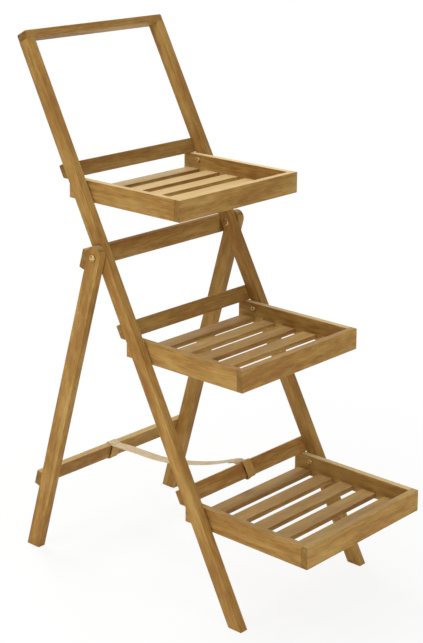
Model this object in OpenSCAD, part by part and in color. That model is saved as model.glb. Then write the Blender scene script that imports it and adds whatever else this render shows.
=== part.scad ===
// Folding plant ladder stand: a leaning ladder front, a hinged rear frame and three slatted trays.
// Millimetres. Z is up, the front faces -Y and X = 0 is the mid plane.
// The model origin is on the floor, half way between the foremost and the rearmost point.

/* [Front frame] */
// Overall width over the two stiles
frame_w = 400; // [320:5:520]
// Lean of the front frame from the vertical, degrees
lean_front = 28.4; // [24:0.2:30]
// Thickness of a stile, measured across the stand
stile_w = 20; // [18:1:26]
// Depth of a stile, measured square to its front face
stile_d = 29; // [27:0.5:32]
// Length of a stile along its front edge, from the floor
stile_l = 1245; // [1225:5:1400]
// Thickness of the flat rail on top of the stiles
cap_h = 17; // [12:1:25]
// Height of the cross rails above the trays
cross_rail_h = 33; // [30:1:40]
// Thickness of the cross rails
cross_rail_t = 12; // [11:0.5:14]

/* [Rear frame] */
// Lean of the rear legs from the vertical, degrees
lean_rear = 15.8; // [14:0.2:17]
// Thickness of a rear leg, measured across the stand
leg_w = 18; // [16:1:22]
// Depth of a rear leg, measured square to its length
leg_d = 35; // [32:1:40]
// Height of the rounded leg top above the hinge bolt
leg_top = 24; // [22:0.5:30]
// Height of the upper rear rail
rear_upper_rail_h = 41.5; // [36:0.5:47]
// Height of the bevel along its upper front edge, which bears on the stiles
stop_bevel_h = 5.5; // [3:0.5:7]
// Height of the lower rear rail
rear_lower_rail_h = 33; // [28:1:37]
// Thickness of both rear rails
rear_rail_t = 14; // [12:0.5:16]
// Distance of the lower rear rail below the hinge bolt, along the leg
rear_lower_rail_q = 525.5; // [523.5:0.5:532.5]

/* [Trays] */
// Depth of a tray from its front face to the rear ends of its sides
tray_l = 308; // [290:1:315]
// Distance of a tray's rear ends behind its pivot
tray_back = 42; // [40:0.5:44]
// Height of the lowest rim above the floor
tray_low = 214; // [205:1:222]
// Height from one tray to the next
tray_step = 302; // [296:1:308]
// Height of the side and front boards
board_h = 44; // [42:0.5:50]
// Thickness of the side and front boards
board_t = 14; // [12:0.5:18]
// Depth of a slat from front to back
slat_w = 35; // [28:1:40]
// Thickness of a slat
slat_t = 10; // [7:0.5:11]
// Distance of the first slat from the rear ends of the sides
slat_back = 11; // [9:1:14]
// Distance of the last slat from the front board
slat_front = 24; // [20:1:30]
// Number of slats in a tray
slat_n = 5; // [3:1:5]
// Drop from the rim to the top of the slats
slat_drop = 31; // [29:0.5:32]
// Depth of the mortises that hold the slat ends
mortise = 6; // [4:0.5:9]
// Shoulder round the tenons on the slat ends
tenon_step = 1; // [0.5:0.25:1.5]

/* [Hinge and pivots] */
// Distance of the hinge bolt along the stile, from the floor
hinge_s = 776; // [772:1:784]
// Distance of the hinge bolt behind the front face of the stile
hinge_d = 17.5; // [17:0.25:18.5]
// Shank diameter of the hinge bolts
hinge_bolt_d = 8; // [6:0.5:9]
// Head diameter of the hinge bolts
hinge_head_d = 15; // [13:0.5:18]
// Head height of the hinge bolts
hinge_head_h = 4.5; // [3.5:0.25:6]
// Outer diameter of the sleeve nuts in the stiles
sleeve_d = 11; // [10.5:0.25:13]
// Flange diameter of the sleeve nuts
sleeve_flange_d = 15; // [14:0.5:18]
// Flange thickness of the sleeve nuts
sleeve_flange_t = 1.6; // [1:0.1:2.5]
// Thickness of the hinge washers
hinge_washer_t = 0.8; // [0.5:0.1:1.6]
// Outer diameter of the hinge washers
hinge_washer_d = 20; // [16:1:26]
// Drop from the rim to the tray pivot
pivot_drop = 12.5; // [12:0.25:13]
// Shank diameter of the tray pivot bolts
pivot_bolt_d = 6; // [5:0.5:7]
// Head diameter of the tray pivot bolts
pivot_head_d = 12; // [10:0.5:15]
// Head height of the tray pivot bolts
pivot_head_h = 3.4; // [2.5:0.1:5]
// Outer diameter of the threaded inserts in the stiles
insert_d = 9; // [8.5:0.25:11]
// Length of the threaded inserts
insert_l = 13; // [10:0.5:15]
// Thickness of the tray pivot washers
pivot_washer_t = 1.2; // [0.8:0.1:2]
// Outer diameter of the tray pivot washers
pivot_washer_d = 14; // [12:0.5:18]
// Width of the hexagon sockets in the bolt heads, across corners
socket_d = 5.8; // [4.5:0.1:7]
// Depth of the hexagon sockets
socket_t = 2; // [1:0.1:2.4]

/* [Fixings] */
// Shank diameter of the rail screws
screw_d = 4; // [3:0.25:5]
// Head diameter of the rail screws
screw_head_d = 8; // [6.5:0.25:9]
// Countersink depth of the rail screws
screw_head_h = 2.6; // [2:0.1:4]
// Length of the rail screws
screw_l = 28; // [22:1:35]
// Distance between the two screws at each rail end
screw_step = 15; // [12:1:17]
// Diameter of the dowels
dowel_d = 6; // [5:0.5:7]
// Length of the dowels under the top rail
cap_dowel_l = 36; // [28:1:44]
// Distance between the two dowels on each stile
cap_dowel_step = 13; // [11:0.5:15]
// Depth of the dowel holes in the top rail
cap_dowel_in = 11; // [8:0.5:11]
// Depth of the dowel holes in the front board
tray_dowel_in = 9; // [6:0.5:10]
// Wood left between a corner dowel and the mortise of the last slat
tray_dowel_web = 3; // [2:0.5:8]
// Distance between the two dowels in a tray corner
tray_dowel_step = 20; // [16:1:24]

/* [Strap] */
// Width of the webbing
strap_w = 26; // [20:1:35]
// Thickness of the webbing
strap_t = 2; // [1.2:0.1:2.5]

/* [Clearances and edges] */
// Chamfer along the long edges of the timber
ease = 1.2; // [0.5:0.1:2]
// Radial running clearance of a shank in a moving piece
run_gap = 0.08; // [0.05:0.01:0.1]
// Radial clearance of a fixing in its hole
fix_gap = 0.05; // [0.02:0.01:0.1]
// Clearance between faces that slide past each other
side_gap = 0.3; // [0.2:0.05:0.5]
// Clearance between a leg and its washer, and under the hinge bolt heads
leg_gap = 0.2; // [0.15:0.05:0.4]
// Clearance between a tray rim and the rail that it bears on
seat_gap = 0.3; // [0.2:0.05:0.5]
// Clearance between the upper rear rail and the stiles when open
stop_gap = 0.3; // [0.2:0.05:0.6]
// Clearance round a slat end in its mortise
mortise_gap = 0.1; // [0.05:0.05:0.3]
// Clearance between the webbing and the rail that it wraps
strap_gap = 0.1; // [0.05:0.05:0.3]

/* [Hidden] */

$fn = 48;

// Colours of the photographed finishes
wood = "#b08c55";
wood_light = "#d8b98a";
steel = "#8d8a84";
webbing = "#dcc3a0";

// Angle between the front frame and the rear legs when open
open_angle = lean_front + lean_rear;
// Free distance between a tray side and the stile beside it
tray_side_gap = pivot_washer_t + side_gap;
// Overall width of a tray
tray_w = frame_w - 2 * stile_w - 2 * tray_side_gap;
// Inner faces of the tray sides and of the rear legs
tray_in = tray_w / 2 - board_t;
leg_in = frame_w / 2 + hinge_washer_t + leg_gap;
leg_out = leg_in + leg_w;
// Tray pivots sit in the middle of the stiles
pivot_d = stile_d / 2;
// The slats share the depth between their two margins evenly
slat_span = tray_l - board_t - slat_back - slat_front;
slat_step = (slat_span - slat_w) / (slat_n - 1);
// Length of the dowels in the tray corners
tray_dowel_l = tray_dowel_in + slat_front - tray_dowel_web;
// Spare length of the timber before its foot is cut level
foot_spare = max(stile_d, leg_d);

// Floor frame position of a point on the stile: s along it, d behind its front face
function stile_y(s, d) = s * sin(lean_front) + d * cos(lean_front);
function stile_z(s, d) = s * cos(lean_front) - d * sin(lean_front);
// Distance along the stile at which a line d behind its face reaches height z
function stile_s(z, d) = (z + d * sin(lean_front)) / cos(lean_front);

hinge_y = stile_y(hinge_s, hinge_d);
hinge_z = stile_z(hinge_s, hinge_d);

// Floor frame position of a point on the leg: q below the hinge, e behind its centre line
function leg_y(q, e) = hinge_y + q * sin(lean_rear) + e * cos(lean_rear);
function leg_z(q, e) = hinge_z - q * cos(lean_rear) + e * sin(lean_rear);
// Distance below the hinge at which a line e behind the centre line reaches the floor
function leg_foot(e) = (hinge_z + e * sin(lean_rear)) / cos(lean_rear);

// Trays: 0 is the lowest
function rim_z(k) = tray_low + k * tray_step;
function pivot_z(k) = rim_z(k) - pivot_drop;
function pivot_s(k) = stile_s(pivot_z(k), pivot_d);
function pivot_y(k) = stile_y(pivot_s(k), pivot_d);
// Front lower edge of the cross rail that holds tray k level
function rail_s(k) = stile_s(rim_z(k) + seat_gap, stile_d);
// The bottom of a cross rail is level, so its back is shorter by this much
rail_bevel = cross_rail_t * tan(lean_front);

// The upper rear rail meets the backs of the stiles when the stand is open
stop_reach = stile_d - hinge_d + stop_gap - leg_d / 2 * cos(open_angle);
stop_q = stop_reach / sin(open_angle);
// Its top lies above that line by the height of its bevel
rear_upper_rail_q = stop_q - stop_bevel_h;

// The origin lies half way between the foremost and the rearmost point
y_front = pivot_y(0) + tray_back - tray_l;
y_foot = leg_y(leg_foot(leg_d / 2), leg_d / 2);
y_top = stile_y(stile_l + cap_h - ease, stile_d);
y_mid = (y_front + max(y_foot, y_top)) / 2;

// Free part of the webbing, in the floor frame [y, z], from the rear rail to the front rail
strap_path = [[525, 174.5], [505, 175.5], [480, 176], [455, 176.5], [430, 177], [405, 178.5],
              [380, 181.5], [355, 186], [330, 191.5], [305, 197.5], [280, 204.5], [256, 212],
              [234, 220], [214, 228], [198, 234.5], [186, 238]];

// ---------- shapes ----------

// Rectangle from the origin with chamfered corners
module eased(a, b, c = ease) {
    polygon([[c, 0], [a - c, 0], [a, c], [a, b - c], [a - c, b], [c, b], [0, b - c], [0, c]]);
}

// Bar along X, centred, with its section from the origin in Y and Z
module bar_x(l, a, b) {
    rotate([90, 0, 90]) linear_extrude(l, center = true) eased(a, b);
}

// Bar along Y from the origin, with its section from the origin in X and Z
module bar_y(l, a, b) {
    translate([0, l, 0]) rotate([90, 0, 0]) linear_extrude(l) eased(a, b);
}

// Bar along Z from the origin, with its section from the origin in X and Y
module bar_z(l, a, b) {
    linear_extrude(l) eased(a, b);
}

// Round pin along X from x0 to x1
module pin_x(x0, x1, d) {
    translate([x0, 0, 0]) rotate([0, 90, 0]) cylinder(h = x1 - x0, d = d);
}

// Washer along X from x0, outer diameter d, hole diameter h
module washer_x(x0, t, d, h) {
    difference() {
        pin_x(x0, x0 + t, d);
        pin_x(x0 - t, x0 + 2 * t, h);
    }
}

// Both sides of the stand
module both_sides() {
    children();
    mirror([1, 0, 0]) children();
}

// ---------- places ----------

// Everything is built in the floor frame, whose Y = 0 is the front edge of the stiles' feet
module on_floor() {
    translate([0, -y_mid, 0]) children();
}

// Frame of the stiles: Y behind the front face, Z along the stile
module on_stile() {
    on_floor() rotate([-lean_front, 0, 0]) children();
}

// Frame of the rear legs: the hinge is the origin, Z runs up the leg
module on_leg() {
    on_floor() translate([0, hinge_y, hinge_z]) rotate([lean_rear, 0, 0]) children();
}

// Frame of tray k: its pivot is the origin
module on_tray(k) {
    on_floor() translate([0, pivot_y(k), pivot_z(k)]) children();
}

// Everything below the floor
module below_floor(y) {
    on_floor() translate([-frame_w, y - 3 * foot_spare, -3 * foot_spare])
        cube([2 * frame_w, 6 * foot_spare, 3 * foot_spare]);
}

// ---------- fixings ----------

// Countersunk screw into -Y from the origin
module screw(gap = 0) {
    rotate([90, 0, 0]) {
        cylinder(h = screw_head_h, d1 = screw_head_d + 2 * gap, d2 = screw_d + 2 * gap);
        cylinder(h = screw_l + gap, d = screw_d + 2 * gap);
    }
}

// Screws of one cross rail, at the right end
module cross_rail_end_screws(k, gap = 0) {
    for (i = [-0.5, 0.5])
        translate([frame_w / 2 - stile_w / 2, stile_d + cross_rail_t,
                   rail_s(k) + rail_bevel + (cross_rail_h - rail_bevel) / 2 + i * screw_step])
            screw(gap);
}

// Screws of one rear rail, at the right end
module rear_rail_end_screws(q, h, gap = 0) {
    for (i = [-0.5, 0.5])
        translate([leg_in + leg_w / 2, leg_d / 2 + rear_rail_t, -q - h / 2 + i * screw_step])
            screw(gap);
}

// Dowels between the top rail and the right stile
module cap_dowels_right(gap = 0) {
    for (i = [-0.5, 0.5])
        translate([frame_w / 2 - stile_w / 2, stile_d / 2 + i * cap_dowel_step,
                   stile_l + cap_dowel_in - cap_dowel_l - gap])
            cylinder(h = cap_dowel_l + 2 * gap, d = dowel_d + 2 * gap);
}

// Dowels in the right front corner of a tray
module tray_dowels_right(gap = 0) {
    for (i = [-0.5, 0.5])
        translate([tray_w / 2 - board_t / 2, tray_back - tray_l + board_t - tray_dowel_in - gap,
                   pivot_drop - board_h / 2 + i * tray_dowel_step])
            rotate([-90, 0, 0]) cylinder(h = tray_dowel_l + 2 * gap, d = dowel_d + 2 * gap);
}

// Bolt with a round head and a hexagon socket: the head lies outward of x, the shank inward
module socket_bolt(x, head_d, head_h, shank_d, shank_l) {
    difference() {
        union() {
            pin_x(x - shank_l, x + 0.01, shank_d);
            translate([x, 0, 0]) rotate([0, 90, 0]) rotate_extrude()
                polygon([[0, 0], [head_d / 2, 0], [head_d / 2, head_h * 0.55],
                         [head_d / 2 - head_h * 0.2, head_h * 0.85],
                         [head_d / 2 - head_h * 0.5, head_h], [0, head_h]]);
        }
        translate([x + head_h - socket_t, 0, 0]) rotate([0, 90, 0])
            cylinder(h = socket_t + 1, d = socket_d, $fn = 6);
    }
}

// ---------- front frame ----------

// Holes in the right stile, in the frame of the stiles
module stile_holes() {
    translate([0, hinge_d, hinge_s]) {
        pin_x(frame_w / 2 - stile_w - 1, frame_w / 2 + 1, sleeve_d + 2 * fix_gap);
        pin_x(frame_w / 2 - stile_w - 1, frame_w / 2 - stile_w + sleeve_flange_t + fix_gap,
              sleeve_flange_d + 2 * fix_gap);
    }
    for (k = [0:2])
        translate([0, pivot_d, pivot_s(k)])
            pin_x(frame_w / 2 - stile_w - 1, frame_w / 2 - stile_w + insert_l + fix_gap,
                  insert_d + 2 * fix_gap);
    for (k = [0:2]) cross_rail_end_screws(k, fix_gap);
    cap_dowels_right(fix_gap);
}

module right_stile() {
    color(wood) difference() {
        on_stile() difference() {
            translate([frame_w / 2 - stile_w, 0, -foot_spare])
                bar_z(stile_l + foot_spare, stile_w, stile_d);
            stile_holes();
        }
        below_floor(0);
    }
}

module left_stile() {
    mirror([1, 0, 0]) right_stile();
}

module top_rail() {
    color(wood) on_stile() difference() {
        translate([0, 0, stile_l]) bar_x(frame_w, stile_d, cap_h);
        both_sides() cap_dowels_right(fix_gap);
    }
}

module top_rail_dowels() {
    color(wood_light) on_stile() both_sides() cap_dowels_right();
}

// Rail on the backs of the stiles, with a level bottom that holds tray k down at the rear
module cross_rail(k) {
    b = ease / 2;
    color(wood) on_stile() difference() {
        translate([0, stile_d, rail_s(k)]) rotate([90, 0, 90])
            linear_extrude(frame_w, center = true)
                polygon([[0, 0], [cross_rail_t - b, rail_bevel - b * tan(lean_front)],
                         [cross_rail_t, rail_bevel + b],
                         [cross_rail_t, cross_rail_h - ease], [cross_rail_t - ease, cross_rail_h],
                         [ease, cross_rail_h], [0, cross_rail_h - ease]]);
        both_sides() cross_rail_end_screws(k, fix_gap);
    }
}

module upper_cross_rail() {
    cross_rail(2);
}

module middle_cross_rail() {
    cross_rail(1);
}

module lower_cross_rail() {
    cross_rail(0);
}

module cross_rail_screws() {
    color(steel) on_stile() both_sides() for (k = [0:2]) cross_rail_end_screws(k);
}

// ---------- tray pivots ----------

module tray_pivot_inserts() {
    color(steel) for (k = [0:2]) on_tray(k) both_sides()
        washer_x(frame_w / 2 - stile_w, insert_l, insert_d, pivot_bolt_d + 2 * fix_gap);
}

// Each head lies inside a tray side and the shank ends in the stile
module tray_pivot_bolts() {
    reach = side_gap + board_t + tray_side_gap + insert_l - 1;
    color(steel) for (k = [0:2]) on_tray(k) both_sides()
        mirror([1, 0, 0])
            socket_bolt(side_gap - tray_in, pivot_head_d, pivot_head_h, pivot_bolt_d, reach);
}

module tray_pivot_washers() {
    color(steel) for (k = [0:2]) on_tray(k) both_sides()
        washer_x(tray_w / 2 + side_gap, pivot_washer_t, pivot_washer_d,
                 pivot_bolt_d + 2 * fix_gap);
}

// ---------- hinge ----------

module hinge_bolts() {
    reach = leg_gap + leg_w + leg_gap + hinge_washer_t + stile_w - 4;
    color(steel) on_stile() translate([0, hinge_d, hinge_s]) both_sides()
        socket_bolt(leg_out + leg_gap, hinge_head_d, hinge_head_h, hinge_bolt_d, reach);
}

// Sleeve nut through the stile, with its flange let in flush on the inner face
module hinge_sleeve_nuts() {
    x_in = frame_w / 2 - stile_w;
    color(steel) on_stile() translate([0, hinge_d, hinge_s]) both_sides() difference() {
        union() {
            pin_x(x_in, frame_w / 2, sleeve_d);
            pin_x(x_in, x_in + sleeve_flange_t, sleeve_flange_d);
        }
        pin_x(x_in + 2.5, frame_w / 2 + 1, hinge_bolt_d + 2 * fix_gap);
        translate([x_in - 1, 0, 0]) rotate([0, 90, 0])
            cylinder(h = socket_t, d = socket_d, $fn = 6);
    }
}

module hinge_washers() {
    color(steel) on_stile() translate([0, hinge_d, hinge_s]) both_sides()
        washer_x(frame_w / 2, hinge_washer_t, hinge_washer_d, hinge_bolt_d + 2 * fix_gap);
}

// ---------- rear frame ----------

module right_rear_leg() {
    top_c = leg_top - leg_d / 2;
    foot = leg_foot(leg_d / 2) + foot_spare;
    color(wood) difference() {
        on_leg() difference() {
            union() {
                translate([leg_in, -leg_d / 2, -foot]) bar_z(foot + top_c, leg_w, leg_d);
                translate([leg_in, 0, top_c]) rotate([0, 90, 0]) rotate_extrude($fn = 96)
                    polygon([[0, 0], [leg_d / 2 - ease, 0], [leg_d / 2, ease],
                             [leg_d / 2, leg_w - ease], [leg_d / 2 - ease, leg_w], [0, leg_w]]);
            }
            pin_x(leg_in - 1, leg_out + 1, hinge_bolt_d + 2 * run_gap);
            rear_rail_end_screws(rear_upper_rail_q, rear_upper_rail_h, fix_gap);
            rear_rail_end_screws(rear_lower_rail_q, rear_lower_rail_h, fix_gap);
        }
        below_floor(leg_y(foot - foot_spare, 0));
    }
}

module left_rear_leg() {
    mirror([1, 0, 0]) right_rear_leg();
}

// Rail on the backs of the legs, q below the hinge and h high
module rear_rail(q, h) {
    color(wood) on_leg() difference() {
        translate([0, leg_d / 2, -q - h]) bar_x(2 * leg_out, rear_rail_t, h);
        both_sides() rear_rail_end_screws(q, h, fix_gap);
    }
}

// What the bevel takes off the upper rear rail: all above the plane that bears on the stiles
module stop_bevel() {
    on_leg() translate([-leg_out - 1, leg_d / 2, -stop_q]) rotate([-open_angle, 0, 0])
        translate([0, -rear_rail_t, -rear_rail_t / 2])
            cube([2 * leg_out + 2, rear_rail_t, 2 * rear_rail_t]);
}

module rear_upper_rail() {
    color(wood) difference() {
        rear_rail(rear_upper_rail_q, rear_upper_rail_h);
        stop_bevel();
    }
}

module rear_lower_rail() {
    rear_rail(rear_lower_rail_q, rear_lower_rail_h);
}

module rear_rail_screws() {
    color(steel) on_leg() both_sides() {
        rear_rail_end_screws(rear_upper_rail_q, rear_upper_rail_h);
        rear_rail_end_screws(rear_lower_rail_q, rear_lower_rail_h);
    }
}

// ---------- strap ----------

// Closed band round a rail whose section runs from the origin to [a, b]
module strap_band(a, b) {
    g = strap_gap;
    o = strap_gap + strap_t;
    rotate([90, 0, 90]) linear_extrude(strap_w, center = true) difference() {
        translate([-o, -o]) square([a + 2 * o, b + 2 * o]);
        translate([-g, -g]) square([a + 2 * g, b + 2 * g]);
    }
}

module strap_rear_loop() {
    color(webbing) on_leg()
        translate([0, leg_d / 2, -rear_lower_rail_q - rear_lower_rail_h])
            strap_band(rear_rail_t, rear_lower_rail_h);
}

// The band follows the level bottom of the cross rail
module strap_front_loop() {
    g = strap_gap;
    o = strap_gap + strap_t;
    // Drop of the level bottom from the front face to the band's own front and back
    slope = tan(lean_front);
    color(webbing) on_stile() translate([0, stile_d, rail_s(0)]) rotate([90, 0, 90])
        linear_extrude(strap_w, center = true) difference() {
            polygon([[-o, -o * slope - o], [cross_rail_t + o, rail_bevel + o * slope - o],
                     [cross_rail_t + o, cross_rail_h + o], [-o, cross_rail_h + o]]);
            polygon([[-g, -g * slope - g], [cross_rail_t + g, rail_bevel + g * slope - g],
                     [cross_rail_t + g, cross_rail_h + g], [-g, cross_rail_h + g]]);
        }
}

// Ends of the free webbing: the middle of the upper layer of each band, at the band's edge
strap_q = rear_lower_rail_q - strap_gap - strap_t / 2;
strap_e = leg_d / 2 - 2 * strap_gap - strap_t;
strap_s = rail_s(0) + cross_rail_h + strap_gap + strap_t / 2;
strap_f = stile_d + cross_rail_t + strap_gap + strap_t;
strap_start = [leg_y(strap_q, strap_e), leg_z(strap_q, strap_e)];
strap_end = [stile_y(strap_s, strap_f), stile_z(strap_s, strap_f)];
strap_route = concat([strap_start], strap_path, [strap_end]);

function unit(v) = v / norm(v);
// Direction of the webbing at ring i: square to the bands at both ends
function strap_dir(i) =
    i == 0 ? [-cos(lean_rear), -sin(lean_rear)] :
    i == len(strap_route) - 1 ? [-cos(lean_front), sin(lean_front)] :
    unit(strap_route[i + 1] - strap_route[i - 1]);

// Four corners of the webbing at ring i: a across it, b through its thickness
function strap_corner(i, a, b) =
    let (t = strap_dir(i), p = strap_route[i], up = b * strap_t / 2)
    [a * strap_w / 2, p[0] + up * t[1], p[1] - up * t[0]];
function strap_ring(i) = [strap_corner(i, -1, -1), strap_corner(i, 1, -1),
                          strap_corner(i, 1, 1), strap_corner(i, -1, 1)];

module strap_span() {
    n = len(strap_route);
    rings = [for (i = [0:n - 1]) each strap_ring(i)];
    sides = [for (i = [0:n - 2], j = [0:3])
        let (a = 4 * i + j, b = 4 * i + (j + 1) % 4)
        each [[a, b, b + 4], [a, b + 4, a + 4]]];
    last = 4 * (n - 1);
    ends = [[0, 2, 1], [0, 3, 2], [last, last + 1, last + 2], [last, last + 2, last + 3]];
    color(webbing) on_floor() polyhedron(points = rings, faces = concat(sides, ends));
}

// ---------- trays ----------

// Rear edge of slat i in the frame of a tray, counted from the rear
function slat_y(i) = tray_back - slat_back - i * slat_step;

// Section of a tenon, or with a clearance that of its mortise, as the end of slat i
module tenon(i, x0, x1, gap = 0) {
    translate([x0, slat_y(i) - slat_w + tenon_step - gap,
               pivot_drop - slat_drop - slat_t + tenon_step - gap])
        cube([x1 - x0, slat_w - 2 * tenon_step + 2 * gap, slat_t - 2 * tenon_step + 2 * gap]);
}

module tray_right_side(k) {
    color(wood) on_tray(k) difference() {
        translate([tray_in, tray_back - tray_l + board_t, pivot_drop - board_h])
            bar_y(tray_l - board_t, board_t, board_h);
        pin_x(tray_in - 1, tray_w / 2 + 1, pivot_bolt_d + 2 * run_gap);
        for (i = [0:slat_n - 1]) tenon(i, tray_in - 1, tray_in + mortise, mortise_gap);
        tray_dowels_right(fix_gap);
    }
}

module tray_left_side(k) {
    mirror([1, 0, 0]) tray_right_side(k);
}

module tray_front_board(k) {
    color(wood) on_tray(k) difference() {
        translate([0, tray_back - tray_l, pivot_drop - board_h]) bar_x(tray_w, board_t, board_h);
        both_sides() tray_dowels_right(fix_gap);
    }
}

module tray_dowels(k) {
    color(wood_light) on_tray(k) both_sides() tray_dowels_right();
}

module tray_slat(k, i) {
    reach = tray_in + mortise - mortise_gap;
    if (i < slat_n)
        color(wood_light) on_tray(k) {
            translate([0, slat_y(i) - slat_w, pivot_drop - slat_drop - slat_t])
                bar_x(2 * tray_in, slat_w, slat_t);
            tenon(i, -reach, reach);
        }
}

// ---------- drawing ----------

left_stile();
right_stile();
top_rail();
top_rail_dowels();
upper_cross_rail();
middle_cross_rail();
lower_cross_rail();
cross_rail_screws();
tray_pivot_inserts();
tray_pivot_bolts();
tray_pivot_washers();
hinge_bolts();
hinge_sleeve_nuts();
hinge_washers();
left_rear_leg();
right_rear_leg();
rear_upper_rail();
rear_lower_rail();
rear_rail_screws();
strap_rear_loop();
strap_front_loop();
strap_span();
tray_left_side(2);  // upper_tray_left_side
tray_right_side(2);  // upper_tray_right_side
tray_front_board(2);  // upper_tray_front_board
tray_dowels(2);  // upper_tray_dowels
tray_slat(2, 0);  // upper_tray_slat_1
tray_slat(2, 1);  // upper_tray_slat_2
tray_slat(2, 2);  // upper_tray_slat_3
tray_slat(2, 3);  // upper_tray_slat_4
tray_slat(2, 4);  // upper_tray_slat_5
tray_left_side(1);  // middle_tray_left_side
tray_right_side(1);  // middle_tray_right_side
tray_front_board(1);  // middle_tray_front_board
tray_dowels(1);  // middle_tray_dowels
tray_slat(1, 0);  // middle_tray_slat_1
tray_slat(1, 1);  // middle_tray_slat_2
tray_slat(1, 2);  // middle_tray_slat_3
tray_slat(1, 3);  // middle_tray_slat_4
tray_slat(1, 4);  // middle_tray_slat_5
tray_left_side(0);  // lower_tray_left_side
tray_right_side(0);  // lower_tray_right_side
tray_front_board(0);  // lower_tray_front_board
tray_dowels(0);  // lower_tray_dowels
tray_slat(0, 0);  // lower_tray_slat_1
tray_slat(0, 1);  // lower_tray_slat_2
tray_slat(0, 2);  // lower_tray_slat_3
tray_slat(0, 3);  // lower_tray_slat_4
tray_slat(0, 4);  // lower_tray_slat_5
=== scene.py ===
"""Visual model of a folding plant ladder stand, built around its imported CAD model.

The stand is a leaning ladder front with a flat rail on top, a hinged rear frame, three
slatted trays and a webbing strap that stops the frames from spreading. The timber is
rebuilt board by board with eased edges and its own grain, and the bolts, nuts, washers,
screws and the strap are rebuilt with the detail that the plain solids leave out.
"""

import logging
import math
import random
from bisect import bisect_left
from dataclasses import dataclass, field
from enum import Enum
from functools import partial
from itertools import accumulate
from typing import Callable, Iterable, Iterator, Optional, Sequence, Union

import bmesh
import bpy
from mathutils import Matrix, Vector


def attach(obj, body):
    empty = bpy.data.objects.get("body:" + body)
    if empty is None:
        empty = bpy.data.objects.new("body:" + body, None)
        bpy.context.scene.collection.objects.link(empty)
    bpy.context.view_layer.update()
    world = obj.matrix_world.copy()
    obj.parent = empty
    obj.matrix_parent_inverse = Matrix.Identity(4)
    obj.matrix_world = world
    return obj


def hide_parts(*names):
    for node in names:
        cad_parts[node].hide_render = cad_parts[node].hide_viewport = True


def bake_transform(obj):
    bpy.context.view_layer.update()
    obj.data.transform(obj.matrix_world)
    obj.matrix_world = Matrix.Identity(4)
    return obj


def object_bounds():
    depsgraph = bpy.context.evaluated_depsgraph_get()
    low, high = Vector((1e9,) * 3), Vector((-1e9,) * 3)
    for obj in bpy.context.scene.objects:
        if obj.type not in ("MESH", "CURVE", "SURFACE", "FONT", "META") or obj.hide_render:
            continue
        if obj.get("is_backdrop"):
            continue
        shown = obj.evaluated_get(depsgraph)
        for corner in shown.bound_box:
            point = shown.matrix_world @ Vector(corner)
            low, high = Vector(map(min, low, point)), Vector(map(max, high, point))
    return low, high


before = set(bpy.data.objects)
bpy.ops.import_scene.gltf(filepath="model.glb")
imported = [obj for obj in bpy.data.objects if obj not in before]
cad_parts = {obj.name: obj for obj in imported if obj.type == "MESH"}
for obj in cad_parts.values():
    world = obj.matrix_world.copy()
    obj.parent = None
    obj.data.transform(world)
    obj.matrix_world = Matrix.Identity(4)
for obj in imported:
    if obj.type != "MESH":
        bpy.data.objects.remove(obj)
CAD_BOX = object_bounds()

LOG = logging.getLogger("plant_ladder_stand")
MM = 0.001

# Names of the mesh attributes that the materials read
BOARD = "board"
TONE = "tone"
END_GRAIN = "end_grain"
PAINTED_LIGHT = "painted_light"
PAINTED_TOP_LIGHT = "painted_top_light"
WEAVE = "weave"

# Upward part of a face's normal from which it gets a painted highlight, and the most painted
# highlight that a face gets
TOP_LIGHT_FROM = 0.6
MOST_TOP_LIGHT = 3.4

# Less than any length or share that counts
TINY = 1e-6

Mesh = bmesh.types.BMesh
Socket = bpy.types.NodeSocket
Profile = Sequence[tuple[float, float]]
Point = tuple[float, float, float]


class Grain(Enum):
    """The local axis along which a board's grain runs."""

    ACROSS = 0
    DEPTH = 1
    HEIGHT = 2


class Recess(Enum):
    """The shape of the drive in the head of a fastener."""

    NONE = "none"
    HEXAGON = "hexagon"
    CROSS = "cross"

    def wall(self, radius: float, angle: float) -> float:
        """Distance of the drive's wall from the axis.

        Args:
            radius: The largest distance of the wall.
            angle: The direction, in radians.

        Returns:
            The distance, in the unit of radius.
        """
        if self is Recess.HEXAGON:
            off = (angle % (math.pi / 3)) - math.pi / 6
            return radius * math.cos(math.pi / 6) / math.cos(off)
        # Half the width of one of the cross's arms
        half_arm = 0.27 * radius
        off = abs((angle + math.pi / 4) % (math.pi / 2) - math.pi / 4)
        return min(radius, half_arm / max(math.sin(off), TINY))


class Side(Enum):
    """The two sides of the stand, seen from the front."""

    LEFT = -1
    RIGHT = 1

    @property
    def label(self) -> str:
        """The side's name as the pieces carry it."""
        return self.name.lower()

    def span(self, near: float, far: float) -> tuple[float, float]:
        """The lower and the higher X of what lies between two distances on this side."""
        low, high = sorted((self.value * near, self.value * far))
        return low, high


# ---------- sizes and places ----------


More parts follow.
